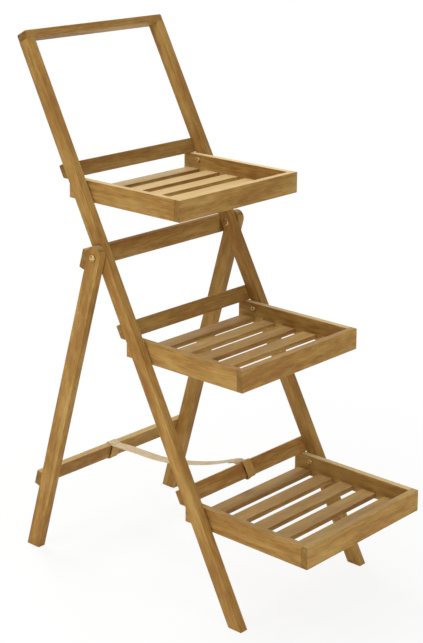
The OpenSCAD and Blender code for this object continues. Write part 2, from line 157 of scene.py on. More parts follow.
@dataclass(frozen=True)
class StandSizes:
    """The stand's sizes in millimetres and degrees, as in the part's source."""

    frame_w: float = 400.0
    lean_front: float = 28.4
    stile_w: float = 20.0
    stile_d: float = 29.0
    stile_l: float = 1245.0
    cap_h: float = 17.0
    cross_rail_h: float = 33.0
    cross_rail_t: float = 12.0
    lean_rear: float = 15.8
    leg_w: float = 18.0
    leg_d: float = 35.0
    leg_top: float = 24.0
    rear_upper_rail_h: float = 41.5
    stop_bevel_h: float = 5.5
    rear_lower_rail_h: float = 33.0
    rear_rail_t: float = 14.0
    rear_lower_rail_q: float = 525.5
    tray_l: float = 308.0
    tray_back: float = 42.0
    tray_low: float = 214.0
    tray_step: float = 302.0
    board_h: float = 44.0
    board_t: float = 14.0
    slat_w: float = 35.0
    slat_t: float = 10.0
    slat_back: float = 11.0
    slat_front: float = 24.0
    slat_n: int = 5
    slat_drop: float = 31.0
    hinge_s: float = 776.0
    hinge_d: float = 17.5
    pivot_drop: float = 12.5
    side_gap: float = 0.3
    leg_gap: float = 0.2
    seat_gap: float = 0.3
    stop_gap: float = 0.3
    hinge_washer_t: float = 0.8
    pivot_washer_t: float = 1.2
    ease: float = 1.2

    @property
    def sin_front(self) -> float:
        """Sine of the front frame's lean."""
        return math.sin(math.radians(self.lean_front))

    @property
    def cos_front(self) -> float:
        """Cosine of the front frame's lean."""
        return math.cos(math.radians(self.lean_front))

    @property
    def sin_rear(self) -> float:
        """Sine of the rear frame's lean."""
        return math.sin(math.radians(self.lean_rear))

    @property
    def cos_rear(self) -> float:
        """Cosine of the rear frame's lean."""
        return math.cos(math.radians(self.lean_rear))

    @property
    def tray_w(self) -> float:
        """Overall width of a tray."""
        return self.frame_w - 2 * self.stile_w - 2 * (self.pivot_washer_t + self.side_gap)

    @property
    def tray_in(self) -> float:
        """Distance of a tray side's inner face from the mid plane."""
        return self.tray_w / 2 - self.board_t

    @property
    def leg_in(self) -> float:
        """Distance of a rear leg's inner face from the mid plane."""
        return self.frame_w / 2 + self.hinge_washer_t + self.leg_gap

    @property
    def leg_out(self) -> float:
        """Distance of a rear leg's outer face from the mid plane."""
        return self.leg_in + self.leg_w

    @property
    def slat_step(self) -> float:
        """Distance from one slat to the next."""
        span = self.tray_l - self.board_t - self.slat_back - self.slat_front
        return (span - self.slat_w) / (self.slat_n - 1)

    @property
    def open_angle(self) -> float:
        """Angle between the two frames when open, in radians."""
        return math.radians(self.lean_front + self.lean_rear)

    @property
    def stop_q(self) -> float:
        """Distance below the hinge, along the leg, at which the rear rail meets the stiles."""
        reach = self.stile_d - self.hinge_d + self.stop_gap
        return (reach - self.leg_d / 2 * math.cos(self.open_angle)) / math.sin(self.open_angle)

    @property
    def rear_rails(self) -> tuple[tuple[str, float, float], ...]:
        """Name, distance below the hinge along the leg, and height of each rear rail."""
        upper = ("upper", self.stop_q - self.stop_bevel_h, self.rear_upper_rail_h)
        return (upper, ("lower", self.rear_lower_rail_q, self.rear_lower_rail_h))

    def stile_point(self, s: float, d: float) -> tuple[float, float]:
        """Floor frame Y and Z of a point s along a stile and d behind its front face."""
        sin, cos = self.sin_front, self.cos_front
        return (s * sin + d * cos, s * cos - d * sin)

    def stile_reach(self, z: float, d: float) -> float:
        """Distance along a stile at which a line d behind its face reaches height z."""
        return (z + d * self.sin_front) / self.cos_front

    def rim_z(self, tray: int) -> float:
        """Height of the rim of a tray, counted from the lowest."""
        return self.tray_low + tray * self.tray_step

    def pivot(self, tray: int) -> tuple[float, float]:
        """Y and Z of a tray's pivot in the floor frame."""
        z = self.rim_z(tray) - self.pivot_drop
        return self.stile_point(self.stile_reach(z, self.stile_d / 2), self.stile_d / 2)

    def rail_s(self, tray: int) -> float:
        """Distance along the stile of the front lower edge of the rail above a tray."""
        return self.stile_reach(self.rim_z(tray) + self.seat_gap, self.stile_d)

    @property
    def hinge(self) -> tuple[float, float]:
        """Y and Z of the hinge in the floor frame."""
        return self.stile_point(self.hinge_s, self.hinge_d)

    @property
    def y_mid(self) -> float:
        """Y of the model's origin in the floor frame."""
        top = self.stile_point(self.stile_l + self.cap_h - self.ease, self.stile_d)
        return (self.pivot(0)[0] + self.tray_back - self.tray_l + top[0]) / 2


@dataclass(frozen=True)
class Places:
    """Local frames of the stand's sub-assemblies, in metres."""

    sizes: StandSizes

    def floor(self) -> Matrix:
        """Frame on the floor whose Y = 0 is the front edge of the stiles' feet."""
        return Matrix.Translation((0, -self.sizes.y_mid * MM, 0))

    def stile(self) -> Matrix:
        """Frame of the stiles: Y behind the front face, Z along the stile."""
        return self.floor() @ Matrix.Rotation(-math.radians(self.sizes.lean_front), 4, "X")

    def level(self, y: float, z: float) -> Matrix:
        """Level frame at a Y and Z of the floor frame."""
        return self.floor() @ Matrix.Translation((0, y * MM, z * MM))

    def leg(self) -> Matrix:
        """Frame of the rear legs: the hinge is the origin, Z runs up the leg."""
        turn = Matrix.Rotation(math.radians(self.sizes.lean_rear), 4, "X")
        return self.level(*self.sizes.hinge) @ turn

    def tray(self, tray: int) -> Matrix:
        """Frame of a tray, counted from the lowest: its pivot is the origin."""
        return self.level(*self.sizes.pivot(tray))


# ---------- materials ----------


def linear(code: str) -> tuple[float, float, float, float]:
    """Turns an sRGB hex colour into linear light.

    Args:
        code: The colour as "#rrggbb".

    Returns:
        Linear red, green, blue and an alpha of 1.
    """
    levels = [int(code[i : i + 2], 16) / 255 for i in (1, 3, 5)]
    light = [c / 12.92 if c <= 0.04045 else ((c + 0.055) / 1.055) ** 2.4 for c in levels]
    return (*light, 1.0)


def add_node(
    tree: bpy.types.NodeTree,
    kind: str,
    inputs: Optional[dict] = None,
    out: Union[int, str] = 0,
    **settings: object,
) -> Optional[Socket]:
    """Adds one node with its settings and links.

    Args:
        tree: The node tree that gets the node.
        kind: The node's type name after ShaderNode.
        inputs: Socket names or numbers with a value, or with the output socket to link.
        out: Name or number of the output to return.
        **settings: The node's own properties.

    Returns:
        The output, or None where the node has none.
    """
    node = tree.nodes.new(f"ShaderNode{kind}")
    for name, value in settings.items():
        setattr(node, name, value)
    for key, value in (inputs or {}).items():
        if isinstance(value, Socket):
            tree.links.new(value, node.inputs[key])
        else:
            node.inputs[key].default_value = value
    return node.outputs[out] if len(node.outputs) else None


def new_material(name: str) -> tuple[bpy.types.Material, Callable]:
    """Makes an empty node material.

    Args:
        name: The material's name.

    Returns:
        The material and add_node for its tree.
    """
    material = bpy.data.materials.new(name)
    material.use_nodes = True
    material.node_tree.nodes.clear()
    return material, partial(add_node, material.node_tree)


def tinted(add: Callable, base: str, layers: Iterable[tuple]) -> Socket:
    """Lays tints over a colour, each where its pattern is strong.

    Args:
        add: add_node for the material's tree.
        base: The hex colour under the tints.
        layers: For each tint its hex colour, its pattern, the values of the pattern at which
            it starts and is full, and its share there.

    Returns:
        The colour that comes out.
    """
    colour = linear(base)
    for tint, pattern, start, full, most in layers:
        ends = {"From Min": start, "From Max": full, "To Max": most}
        share = add("MapRange", {"Value": pattern, **ends})
        colour = add("Mix", {0: share, 6: colour, 7: linear(tint)}, 2, data_type="RGBA")
    return colour


def close_material(
    material: bpy.types.Material, sockets: dict, height: Socket, strength: float, depth_mm: float
) -> bpy.types.Material:
    """Adds the relief, the shader and the output of a material.

    Args:
        material: The material.
        sockets: The shader's inputs.
        height: The height of the relief.
        strength: How much the relief shows.
        depth_mm: The relief's depth.

    Returns:
        The material.
    """
    add = partial(add_node, material.node_tree)
    bump = add("Bump", {"Height": height, "Strength": strength, "Distance": depth_mm * MM})
    add("OutputMaterial", {"Surface": add("BsdfPrincipled", {**sockets, "Normal": bump})})
    return material


@dataclass(frozen=True)
class OiledHardwood:
    """Acacia-like hardwood, planed, sanded and oiled.

    The oil gives a satin surface in which the streaks along the board show warm brown, the
    open pores as short dark dashes and the sawn ends darker; a painted highlight makes the
    eased edges and the faces that look up paler.
    """

    name: str = "hardwood_planed_and_oiled"
    late_wood: str = "#7d5a29"
    early_wood: str = "#bb904f"
    heart_streak: str = "#8d6031"
    pale_streak: str = "#be9d5e"
    # Paint for the highlights on the eased edges and on the faces that look up
    edge_highlight: str = "#e0c39c"
    top_highlight_tint: str = "#dcc391"
    pore: str = "#4b3112"
    # Real growth rings are 2 to 3 mm apart; drawn at 6 mm so that they show
    ring_mm: float = 6.0
    # Real streaks are under 1 mm wide; drawn at 2.2 mm so that they show
    streak_mm: float = 2.2
    # Broad patches of darker and paler heartwood
    figure_mm: float = 30.0
    # Blotches where the oil soaked in unevenly
    blotch_mm: float = 9.0
    # Real pores are 0.2 mm wide and a few millimetres long; drawn at 1 mm
    pore_mm: float = 1.0
    # How far the grain wanders sideways, in metres
    drift: float = 0.008
    # What the rings and the streaks count for in the grain
    ring_share: float = 0.09
    streak_share: float = 0.95

    def build(self) -> bpy.types.Material:
        """Builds the material from the boards' own grain coordinates.

        Returns:
            The material.
        """
        material, add = new_material(self.name)
        board = add("Attribute", out="Vector", attribute_name=BOARD)
        tone, end, painted_light, painted_top_light = (
            add("Attribute", out="Fac", attribute_name=name)
            for name in (TONE, END_GRAIN, PAINTED_LIGHT, PAINTED_TOP_LIGHT)
        )
        # The grain wanders over the length of a hand
        noise = add("TexNoise", {"Vector": board, "Scale": 6.0, "Detail": 2.0}, "Color")
        centred = add("VectorMath", {0: noise, 1: (0.5, 0.5, 0.5)}, operation="SUBTRACT")
        reach = (self.drift, self.drift, self.drift)
        bent = add("VectorMath", {0: centred, 1: reach, 2: board}, operation="MULTIPLY_ADD")
        # What each pattern follows, its share of length along the grain, its size, its detail
        # and its roughness
        patterns = (
            (bent, 0.06, self.streak_mm, 4.0, 0.7),
            (bent, 0.15, self.figure_mm, 2.0, 0.5),
            (bent, 0.3, self.blotch_mm, 3.0, 0.5),
            (board, 0.04, self.pore_mm, 1.0, 0.5),
        )
        made = []
        for source, share, size, detail, rough in patterns:
            drawn = add("VectorMath", {0: source, 1: (1.0, 1.0, share)}, operation="MULTIPLY")
            inputs = {"Vector": drawn, "Scale": 1 / (size * MM), "Detail": detail}
            made.append(add("TexNoise", {**inputs, "Roughness": rough}))
        streaks, figure, blotches, pore_noise = made
        pores = add("MapRange", {"Value": pore_noise, "From Min": 0.58, "From Max": 0.74})
        drawn = add("VectorMath", {0: bent, 1: (1.0, 1.0, 0.05)}, operation="MULTIPLY")
        inputs = {"Vector": drawn, "Scale": 0.1 * math.pi / (self.ring_mm * MM)}
        inputs |= {"Distortion": 3.0, "Detail": 2.0, "Detail Scale": 0.5}
        rings = add("TexWave", inputs, "Fac", wave_type="RINGS", rings_direction="Z")
        inputs = {0: rings, 1: self.ring_share, 2: self.ring_share}
        shade = add("Math", inputs, operation="MULTIPLY_ADD")
        grain = add("Math", {0: streaks, 1: self.streak_share, 2: shade}, operation="MULTIPLY_ADD")
        # Each tint, its pattern, where in the pattern it starts and is full, and its share there
        layers = (
            (self.early_wood, grain, 0.36, 0.88, 1.0),
            (self.heart_streak, figure, 0.48, 0.72, 0.8),
            (self.pale_streak, figure, 0.5, 0.25, 0.6),
            # The oil soaked in unevenly
            (self.late_wood, blotches, 0.48, 0.68, 0.24),
            (self.pale_streak, blotches, 0.5, 0.32, 0.2),
            (self.pore, pores, 0.0, 1.0, 0.26),
            # Sawn ends drink the oil and turn darker
            (self.pore, end, 0.0, 1.0, 0.38),
            # Painted highlight along the eased edges
            (self.edge_highlight, painted_light, 0.0, 1.0, 0.5),
            # Painted highlight on the faces that look up
            (self.top_highlight_tint, painted_top_light, 0.0, MOST_TOP_LIGHT, 0.26 * MOST_TOP_LIGHT),
        )
        colour = tinted(add, self.late_wood, layers)
        # The streaks are smoother than the wood between them, and sawn ends are rough
        ends = {"From Min": 0.3, "From Max": 0.7, "To Min": 0.5, "To Max": 0.36}
        satin = add("MapRange", {"Value": streaks, **ends})
        sockets = {
            "Base Color": add("VectorMath", {0: colour, "Scale": tone}, operation="SCALE"),
            "Roughness": add("Math", {0: end, 1: 0.15, 2: satin}, operation="MULTIPLY_ADD"),
            "IOR": 1.5,
            # The open pores swallow the gloss, only the thin film of cured oil over them
            # still shines
            "Specular IOR Level": 0.03,
            "Coat Weight": 0.08,
            "Coat Roughness": 0.35,
        }
        height = add("Math", {0: pores, 1: -0.7, 2: streaks}, operation="MULTIPLY_ADD")
        return close_material(material, sockets, height, strength=0.35, depth_mm=0.3)


@dataclass(frozen=True)
class DowelWood:
    """Beech dowel rod, turned and left dry: pale, with short fleck marks along the rod."""

    name: str = "beech_dowel_turned"
    pale: str = "#d9bb8c"
    fleck: str = "#a8814f"
    # Real flecks are 0.3 mm wide; drawn at 1 mm
    fleck_mm: float = 1.0

    def build(self) -> bpy.types.Material:
        """Builds the material.

        Returns:
            The material.
        """
        material, add = new_material(self.name)
        place = add("TexCoord", out="Object")
        drawn = add("Mapping", {"Vector": place, "Scale": (1.0, 0.2, 0.2)})
        inputs = {"Vector": drawn, "Scale": 1 / (self.fleck_mm * MM), "Detail": 3.0}
        flecks = add("TexNoise", inputs)
        colour = tinted(add, self.fleck, [(self.pale, flecks, 0.35, 0.6, 1.0)])
        sockets = {"Base Color": colour, "Roughness": 0.7}
        return close_material(material, sockets, flecks, strength=0.3, depth_mm=0.2)


@dataclass(frozen=True)
class PlatedMetal:
    """A plated or turned metal with fine tool marks and slightly dulled patches."""

    name: str
    bright: str
    dull: str
    roughness: float
    # How much smoother or rougher than that the bloom is
    uneven: float = 0.08
    # Crystal bloom of the plating; drawn at 2 mm, real bloom is finer
    bloom_mm: float = 2.0
    # Tool marks; real ones are 0.05 mm apart, drawn at 0.5 mm
    mark_mm: float = 0.5

    def build(self) -> bpy.types.Material:
        """Builds the material.

        Returns:
            The material.
        """
        material, add = new_material(self.name)
        place = add("TexCoord", out="Object")
        bloom, marks = (
            add("TexNoise", {"Vector": place, "Scale": 1 / (size * MM), "Detail": detail})
            for size, detail in ((self.bloom_mm, 3.0), (self.mark_mm, 2.0))
        )
        rough, smooth = self.roughness + self.uneven, self.roughness - self.uneven
        ends = {"From Min": 0.3, "From Max": 0.7, "To Min": rough, "To Max": smooth}
        sockets = {
            "Base Color": tinted(add, self.dull, [(self.bright, bloom, 0.35, 0.65, 1.0)]),
            "Metallic": 1.0,
            "Roughness": add("MapRange", {"Value": bloom, **ends}),
        }
        return close_material(material, sockets, marks, strength=0.15, depth_mm=0.05)


@dataclass(frozen=True)
class CottonWebbing:
    """Undyed cotton webbing in plain weave: matt, ribbed along its length, a little uneven."""

    name: str = "cotton_webbing_plain_weave"
    yarn: str = "#dfcaa5"
    shade: str = "#a0875c"
    # Paint for the shade on the loops' faces that do not look up, and for patchy soiling
    shade_and_soil: str = "#b08326"
    # Real yarns are 1 mm apart; drawn at 1.7 mm so that they show
    rib_mm: float = 1.7
    # Spacing of the weft; real 1 mm, drawn at 2.2 mm
    weft_mm: float = 2.2
    # Fuzz of the yarns; real fibres are 0.02 mm thick, drawn at 0.8 mm
    fuzz_mm: float = 0.8
    # Slight soiling over a finger's width
    soil_mm: float = 18.0
    # Share of painted shade on the loops' faces that do not look up
    facing_shade_share: float = 0.85

    def build(self) -> bpy.types.Material:
        """Builds the material from the strap's own weave map.

        Returns:
            The material.
        """
        material, add = new_material(self.name)
        weave = add("UVMap", uv_map=WEAVE)
        axes = add("SeparateXYZ", {0: weave}).node.outputs

        def wave(axis: str, pitch_mm: float) -> Socket:
            """A sine along one axis of the weave map with the given pitch."""
            inputs = {0: axes[axis], 1: 2 * math.pi / (pitch_mm * MM)}
            return add("Math", {0: add("Math", inputs, operation="MULTIPLY")}, operation="SINE")

        inputs = {0: wave("X", 2 * self.rib_mm), 1: wave("Y", 2 * self.weft_mm)}
        over = add("Math", inputs, operation="MULTIPLY")
        ribs = wave("X", self.rib_mm)
        relief = add("Math", {0: ribs, 1: 0.35, 2: over}, operation="MULTIPLY_ADD")
        fuzz, soil = (
            add("TexNoise", {"Vector": weave, "Scale": 1 / (size * MM), "Detail": detail})
            for size, detail in ((self.fuzz_mm, 3.0), (self.soil_mm, 2.0))
        )
        ends = {"From Min": 0.45, "From Max": 0.7, "To Max": 0.3}
        patchy = add("MapRange", {"Value": soil, **ends})
        facing_shade = add("Attribute", out="Fac", attribute_name=PAINTED_LIGHT)
        inputs = {0: facing_shade, 1: self.facing_shade_share, 2: patchy}
        shade_and_dirt = add("Math", inputs, operation="MULTIPLY_ADD")
        # Painted shade darkens the grooves between the raised yarns, and painted shade on the
        # faces that do not look up lies over patchy soiling
        layers = ((self.yarn, relief, -1.0, 0.6, 1.0), (self.shade_and_soil, shade_and_dirt, 0.0, 1.0, 1.0))
        sockets = {
            "Base Color": tinted(add, self.shade, layers),
            "Roughness": 0.9,
            "Sheen Weight": 0.25,
            "Sheen Roughness": 0.5,
        }
        height = add("Math", {0: fuzz, 1: 0.5, 2: relief}, operation="MULTIPLY_ADD")
        return close_material(material, sockets, height, strength=0.6, depth_mm=0.25)


@dataclass(frozen=True)
class SewingThread:
    """Twisted polyester sewing thread: off white, slightly shiny, twisted strands."""

    name: str = "polyester_thread_twisted"
    strand: str = "#e9dcc6"
    groove_shade: str = "#b49a76"
    # Real twist is 0.4 mm; drawn at 0.9 mm
    twist_mm: float = 0.9

    def build(self) -> bpy.types.Material:
        """Builds the material.

        Returns:
            The material.
        """
        material, add = new_material(self.name)
        weave = add("UVMap", uv_map=WEAVE)
        inputs = {"Scale": 0.1 * math.pi / (self.twist_mm * MM), "Distortion": 0.6}
        settings = {"wave_type": "BANDS", "bands_direction": "DIAGONAL"}
        twist = add("TexWave", {"Vector": weave, **inputs}, "Fac", **settings)
        # Painted shade darkens the grooves between the twisted strands
        colour = tinted(add, self.groove_shade, [(self.strand, twist, 0.0, 1.0, 1.0)])
        sockets = {"Base Color": colour, "Roughness": 0.55}
        return close_material(material, sockets, twist, strength=0.5, depth_mm=0.1)


@dataclass(frozen=True)
class Finishes:
    """The materials of the stand, each built once."""

    hardwood: bpy.types.Material
    dowel: bpy.types.Material
    zinc: bpy.types.Material
    brass: bpy.types.Material
    webbing: bpy.types.Material
    thread: bpy.types.Material

    @classmethod
    def build(cls) -> "Finishes":
        """Builds every finish.

        Returns:
            The set of materials.
        """
        return cls(
            hardwood=OiledHardwood().build(),
            dowel=DowelWood().build(),
            # Yellow passivated zinc on steel: a satin straw colour with a browner bloom
            zinc=PlatedMetal("steel_zinc_plated_yellow", "#d0b077", "#84673a", 0.34).build(),
            # Turned brass: yellow, brighter where the tool ran last
            brass=PlatedMetal("brass_turned", "#d9b56c", "#a98542", 0.3).build(),
            webbing=CottonWebbing().build(),
            thread=SewingThread().build(),
        )


# ---------- pieces ----------


def finish_piece(
    bm: Mesh,
    name: str,
    materials: Sequence[bpy.types.Material],
    slot: str,
    node: str,
    body: Optional[str] = None,
) -> bpy.types.Object:
    """Turns a finished bmesh into a piece at the origin and reports it.

    Args:
        bm: The mesh, in the row frame and in metres. It is freed.
        name: The piece's name.
        materials: The piece's materials, in the order of its faces' numbers.
        slot: Not used.
        node: The CAD node that it stands for.
        body: The CAD body that it rides on, or None where it is attached to no body.

    Returns:
        The piece.
    """
    mesh = bpy.data.meshes.new(name)
    bm.to_mesh(mesh)
    bm.free()
    for polygon in mesh.polygons:
        polygon.use_smooth = True
    for material in materials:
        mesh.materials.append(material)
    piece = bpy.data.objects.new(name, mesh)
    bpy.context.scene.collection.objects.link(piece)
    weighted = piece.modifiers.new("weighted_normals", "WEIGHTED_NORMAL")
    weighted.weight = 60
    weighted.keep_sharp = True
    if body is not None:
        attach(piece, body)
    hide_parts(node)
    LOG.info("%s rides on %s", name, body or "both frames")
    return piece


@dataclass
class Assembly:
    """A group of pieces, made from the shared sizes, places and finishes."""

    sizes: StandSizes
    places: Places
    finishes: Finishes


# ---------- strap ----------


@dataclass
class StrapRoute:
    """A route in a Y-Z plane, measured in millimetres along its own length."""

    line: list[Vector]
    start: Vector
    end: Vector
    marks: list[float] = field(init=False)

    def __post_init__(self) -> None:
        """Works out how far along the route each of its points lies."""
        steps = ((b - a).length for a, b in zip(self.line, self.line[1:]))
        self.marks = list(accumulate(steps, initial=0.0))

    @classmethod
    def smooth(cls, points: Profile, start: Vector, end: Vector) -> "StrapRoute":
        """Lays a smooth curve through given points.

        Args:
            points: The points.
            start: The direction at the first point.
            end: The direction at the last point.

        Returns:
            The route.
        """
        pts = [Vector(p) for p in points]
        slopes = [start * (pts[1] - pts[0]).length]
        slopes += [(after - before) / 2 for before, after in zip(pts, pts[2:])]
        slopes.append(end * (pts[-1] - pts[-2]).length)
        line = []
        steps = 12
        for p, q, slope_p, slope_q in zip(pts, pts[1:], slopes, slopes[1:]):
            for t in (k / steps for k in range(steps)):
                a, b = 2 * t**3 - 3 * t**2 + 1, t**3 - 2 * t**2 + t
                c, d = 3 * t**2 - 2 * t**3, t**3 - t**2
                line.append(p * a + slope_p * b + q * c + slope_q * d)
        return cls([*line, pts[-1]], start, end)

    @classmethod
    def rounded(cls, corners: Profile, radius: float) -> "StrapRoute":
        """Lays straight runs from corner to corner, with the corners rounded.

        Args:
            corners: The corners.
            radius: The radius of the middle layer at each corner.

        Returns:
            The route.
        """
        pts = [Vector(c) for c in corners]
        line = [pts[0]]
        for a, b, c in zip(pts, pts[1:], pts[2:]):
            u, w = (a - b).normalized(), (c - b).normalized()
            half = u.angle(w) / 2
            cut = radius / math.tan(half)
            centre = b + (u + w).normalized() * (radius / math.sin(half))
            first, last = b + u * cut - centre, b + w * cut - centre
            turn = -first.angle_signed(last)
            steps = 5
            turns = (Matrix.Rotation(turn * k / steps, 2) for k in range(steps + 1))
            line += [centre + matrix @ first for matrix in turns]
        line.append(pts[-1])
        fine = []
        for a, b in zip(line, line[1:]):
            steps = max(1, round((b - a).length / 2))
            fine += [a.lerp(b, k / steps) for k in range(steps)]
        start, end = (line[1] - line[0]).normalized(), (line[-1] - line[-2]).normalized()
        return cls([*fine, line[-1]], start, end)

    @property
    def length(self) -> float:
        """The route's length."""
        return self.marks[-1]

    def spot(self, across: float, along: float, up: float) -> Vector:
        """Place of a point of the webbing.

        Args:
            across: Distance across the webbing from its middle.
            along: Distance along the route.
            up: Distance above the route.

        Returns:
            The point in the route's frame, in millimetres.
        """
        along = min(max(along, 0.0), self.length)
        last = len(self.marks) - 1
        i = bisect_left(self.marks, along, 1, last)
        step = max(self.marks[i] - self.marks[i - 1], TINY)
        y, z = self.line[i - 1].lerp(self.line[i], (along - self.marks[i - 1]) / step)
        way = (self.line[min(i + 1, last)] - self.line[max(i - 2, 0)]).normalized()
        if along < TINY:
            way = self.start
        if along > self.length - TINY:
            way = self.end
        return Vector((across, y + up * way.y, z - up * way.x))


@dataclass
class CheckStrap(Assembly):
    """The webbing between the lower rails that stops the frames from spreading."""

    slot: str = "cotton_webbing"
    width: float = 26.0
    thick: float = 2.0
    gap: float = 0.1
    # The ends are folded under, a little narrower, and sewn down
    tab: float = 24.0
    tab_trim: float = 0.6
    fold_gap: float = 0.05
    # Where the folded end starts beyond the loop
    lead: float = 2.3
    # Radius of the middle layer at the rails' edges
    corner: float = 1.9
    # The selvedge's width, and its share of the thickness at its edge
    selvedge: float = 1.1
    selvedge_share: float = 0.45
    # How far the left edge of a loop stands off its rail, and where along the loop it does:
    # before and after the end of the rear loop, and from the start of the front loop
    lift: float = 3.8
    rear_slack: tuple[float, float] = (-36.0, 12.0)
    front_slack: tuple[float, float] = (9.0, 62.0)
    # Half the width and length of a sewn box, the step from one stitch to the next, the share
    # of it that half a stitch takes, half the width and height of the thread, and how far its
    # middle stands out of the cloth
    box: tuple[float, float] = (9.5, 8.5)
    stitch: float = 3.2
    stitch_share: float = 0.42
    thread: tuple[float, float] = (0.38, 0.42)
    proud: float = 0.02
    path: Profile = (
        (525, 174.5), (505, 175.5), (480, 176), (455, 176.5), (430, 177), (405, 178.5),
        (380, 181.5), (355, 186), (330, 191.5), (305, 197.5), (280, 204.5), (256, 212),
        (234, 220), (214, 228), (198, 234.5), (186, 238),
    )

    def ribbon(
        self, length: float, across: float, layer: float, bend: Callable, start: float = 0.0
    ) -> Mesh:
        """Makes a length of webbing with soft selvedges and bends it.

        Args:
            length: Its length.
            across: Its width.
            layer: Height of its middle layer above the route.
            bend: Turns (across, along, up) in millimetres into a place in metres.
            start: Distance along the route at which it starts.

        Returns:
            The mesh in the row frame.
        """
        bm = bmesh.new()
        rows = max(4, round(length / 2.0))
        bmesh.ops.create_grid(bm, x_segments=12, y_segments=rows, size=0.5)
        bmesh.ops.solidify(bm, geom=bm.faces[:], thickness=1.0)
        middle = sum(v.co.z for v in bm.verts) / len(bm.verts)
        weave = bm.loops.layers.uv.new(WEAVE)
        for face in bm.faces:
            for loop in face.loops:
                co = loop.vert.co
                loop[weave].uv = (co.x * across * MM, ((co.y + 0.5) * length + start) * MM)
        for vert in bm.verts:
            # The selvedge is thinner than the middle and rounds over
            edge = min(1.0, (0.5 - abs(vert.co.x)) * across / self.selvedge)
            rise = (1 - self.selvedge_share) * math.sqrt(max(0.0, edge))
            half = self.thick / 2 * (self.selvedge_share + rise)
            up = layer + (half if vert.co.z > middle else -half)
            vert.co = bend(vert.co.x * across, (vert.co.y + 0.5) * length + start, up)
        bmesh.ops.recalc_face_normals(bm, faces=bm.faces)
        return bm

    def stitches(self, centre: float, bend: Callable) -> Mesh:
        """Sews a box with a cross through it.

        Args:
            centre: Distance of the box's middle along the route.
            bend: Turns (across, along, up) in millimetres into a place in metres.

        Returns:
            The stitches' mesh.
        """
        x, y = self.box
        corners = [Vector(c) for c in ((-x, -y), (x, -y), (x, y), (-x, y))]
        seams = [*zip(corners, corners[1:] + corners[:1]), corners[::2], corners[1::2]]
        bm = bmesh.new()
        weave = bm.loops.layers.uv.new(WEAVE)
        for first, last in seams:
            run = last - first
            count = max(2, round(run.length / self.stitch))
            turn = Matrix.Rotation(math.atan2(run.y, run.x), 4, "Z")
            # Each stitch is a short arch of thread that dips into the cloth at its ends
            length = run.length / count * self.stitch_share
            shape = Matrix.Diagonal((length, *self.thread, 1.0))
            for i in range(count):
                made = bmesh.ops.create_icosphere(bm, subdivisions=1, radius=1.0)["verts"]
                x, y = first.lerp(last, (i + 0.5) / count)
                spot = Matrix.Translation((x, centre + y, self.thick / 2 + self.proud))
                bmesh.ops.transform(bm, matrix=spot @ turn @ shape, verts=made)
        for face in bm.faces:
            face.material_index = 1
            for loop in face.loops:
                loop[weave].uv = (loop.vert.co.x * MM, loop.vert.co.y * MM)
        for vert in bm.verts:
            vert.co = bend(*vert.co)
        bmesh.ops.recalc_face_normals(bm, faces=bm.faces)
        return bm

    def span_route(self) -> StrapRoute:
        """The free webbing's route from the rear rail to the front rail, in the floor frame.

        Returns:
            The route.
        """
        z = self.sizes
        hinge_y, hinge_z = z.hinge
        q = z.rear_lower_rail_q - self.gap - self.thick / 2
        e = z.leg_d / 2 - 2 * self.gap - self.thick
        start = (
            hinge_y + q * z.sin_rear + e * z.cos_rear,
            hinge_z - q * z.cos_rear + e * z.sin_rear,
        )
        s = z.rail_s(0) + z.cross_rail_h + self.gap + self.thick / 2
        end = z.stile_point(s, z.stile_d + z.cross_rail_t + self.gap + self.thick)
        rearward, forward = (-z.cos_rear, -z.sin_rear), (-z.cos_front, z.sin_front)
        return StrapRoute.smooth([start, *self.path, end], Vector(rearward), Vector(forward))

    def loop(
        self, end: str, route: StrapRoute, place: Matrix, slack: tuple[float, float], lift: float
    ) -> None:
        """Builds the webbing round one rail.

        Args:
            end: The end of the stand, rear or front.
            route: The route round the rail, in the local frame.
            place: The local frame, in metres.
            slack: Where along the route the left edge starts and ends to stand off the rail.
            lift: How far it stands off, positive on the left of the route.
        """
        begin, stop = slack

        def bend(across: float, along: float, up: float) -> Vector:
            """Places a point of the loop, whose left edge stands off the rail's face.

            Args:
                across: Distance across the webbing from its middle.
                along: Distance along the route.
                up: Distance above the route.

            Returns:
                The point in the row frame, in metres.
            """
            free = math.sin(math.pi * min(1.0, max(0.0, (along - begin) / (stop - begin))))
            # The lift starts just right of the middle and is full a quarter width to its left
            share = min(1.0, max(0.0, (0.1 - across / self.width * 2) / 0.6))
            edge = share * share * (3 - 2 * share)
            return place @ (route.spot(across, along, up + lift * free * edge) * MM)

        bm = self.ribbon(route.length, self.width, 0.0, bend)
        painted_light = bm.faces.layers.float.new(PAINTED_LIGHT)
        bm.normal_update()
        # Painted shade: the less a face of the loop looks up, the darker it is
        for face in bm.faces:
            face[painted_light] = 1.0 - max(0.0, face.normal.z)
        name, materials = f"check_strap_{end}_loop", [self.finishes.webbing]
        finish_piece(bm, name, materials, self.slot, f"strap_{end}_loop", f"{end}_frame")

    def span(self) -> None:
        route, floor = self.span_route(), self.places.floor()

        def bend(across: float, along: float, up: float) -> Vector:
            """Place of a point of the free webbing."""
            return floor @ (route.spot(across, along, up) * MM)

        under, tab_w = -self.thick - self.fold_gap, self.width - self.tab_trim
        parts = [self.ribbon(route.length, self.width, 0.0, bend)]
        for start in (self.lead, route.length - self.lead - self.tab):
            parts.append(self.ribbon(self.tab, tab_w, under, bend, start))
        middle = self.lead + self.tab / 2 + 0.5
        parts += [self.stitches(centre, bend) for centre in (middle, route.length - middle)]
        materials = [self.finishes.webbing, self.finishes.thread]
        name, node = "check_strap_span", "strap_span"
        span = finish_piece(joined(parts), name, materials, self.slot, node)
        count = 60
        line = [tuple(bend(0.0, route.length * i / count, 0.0)) for i in range(count + 1)]
        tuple(line[-1])
        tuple(line[0])
        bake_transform(span)
        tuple(line[0])
        LOG.info("%s is %.0f mm long", name, route.length)

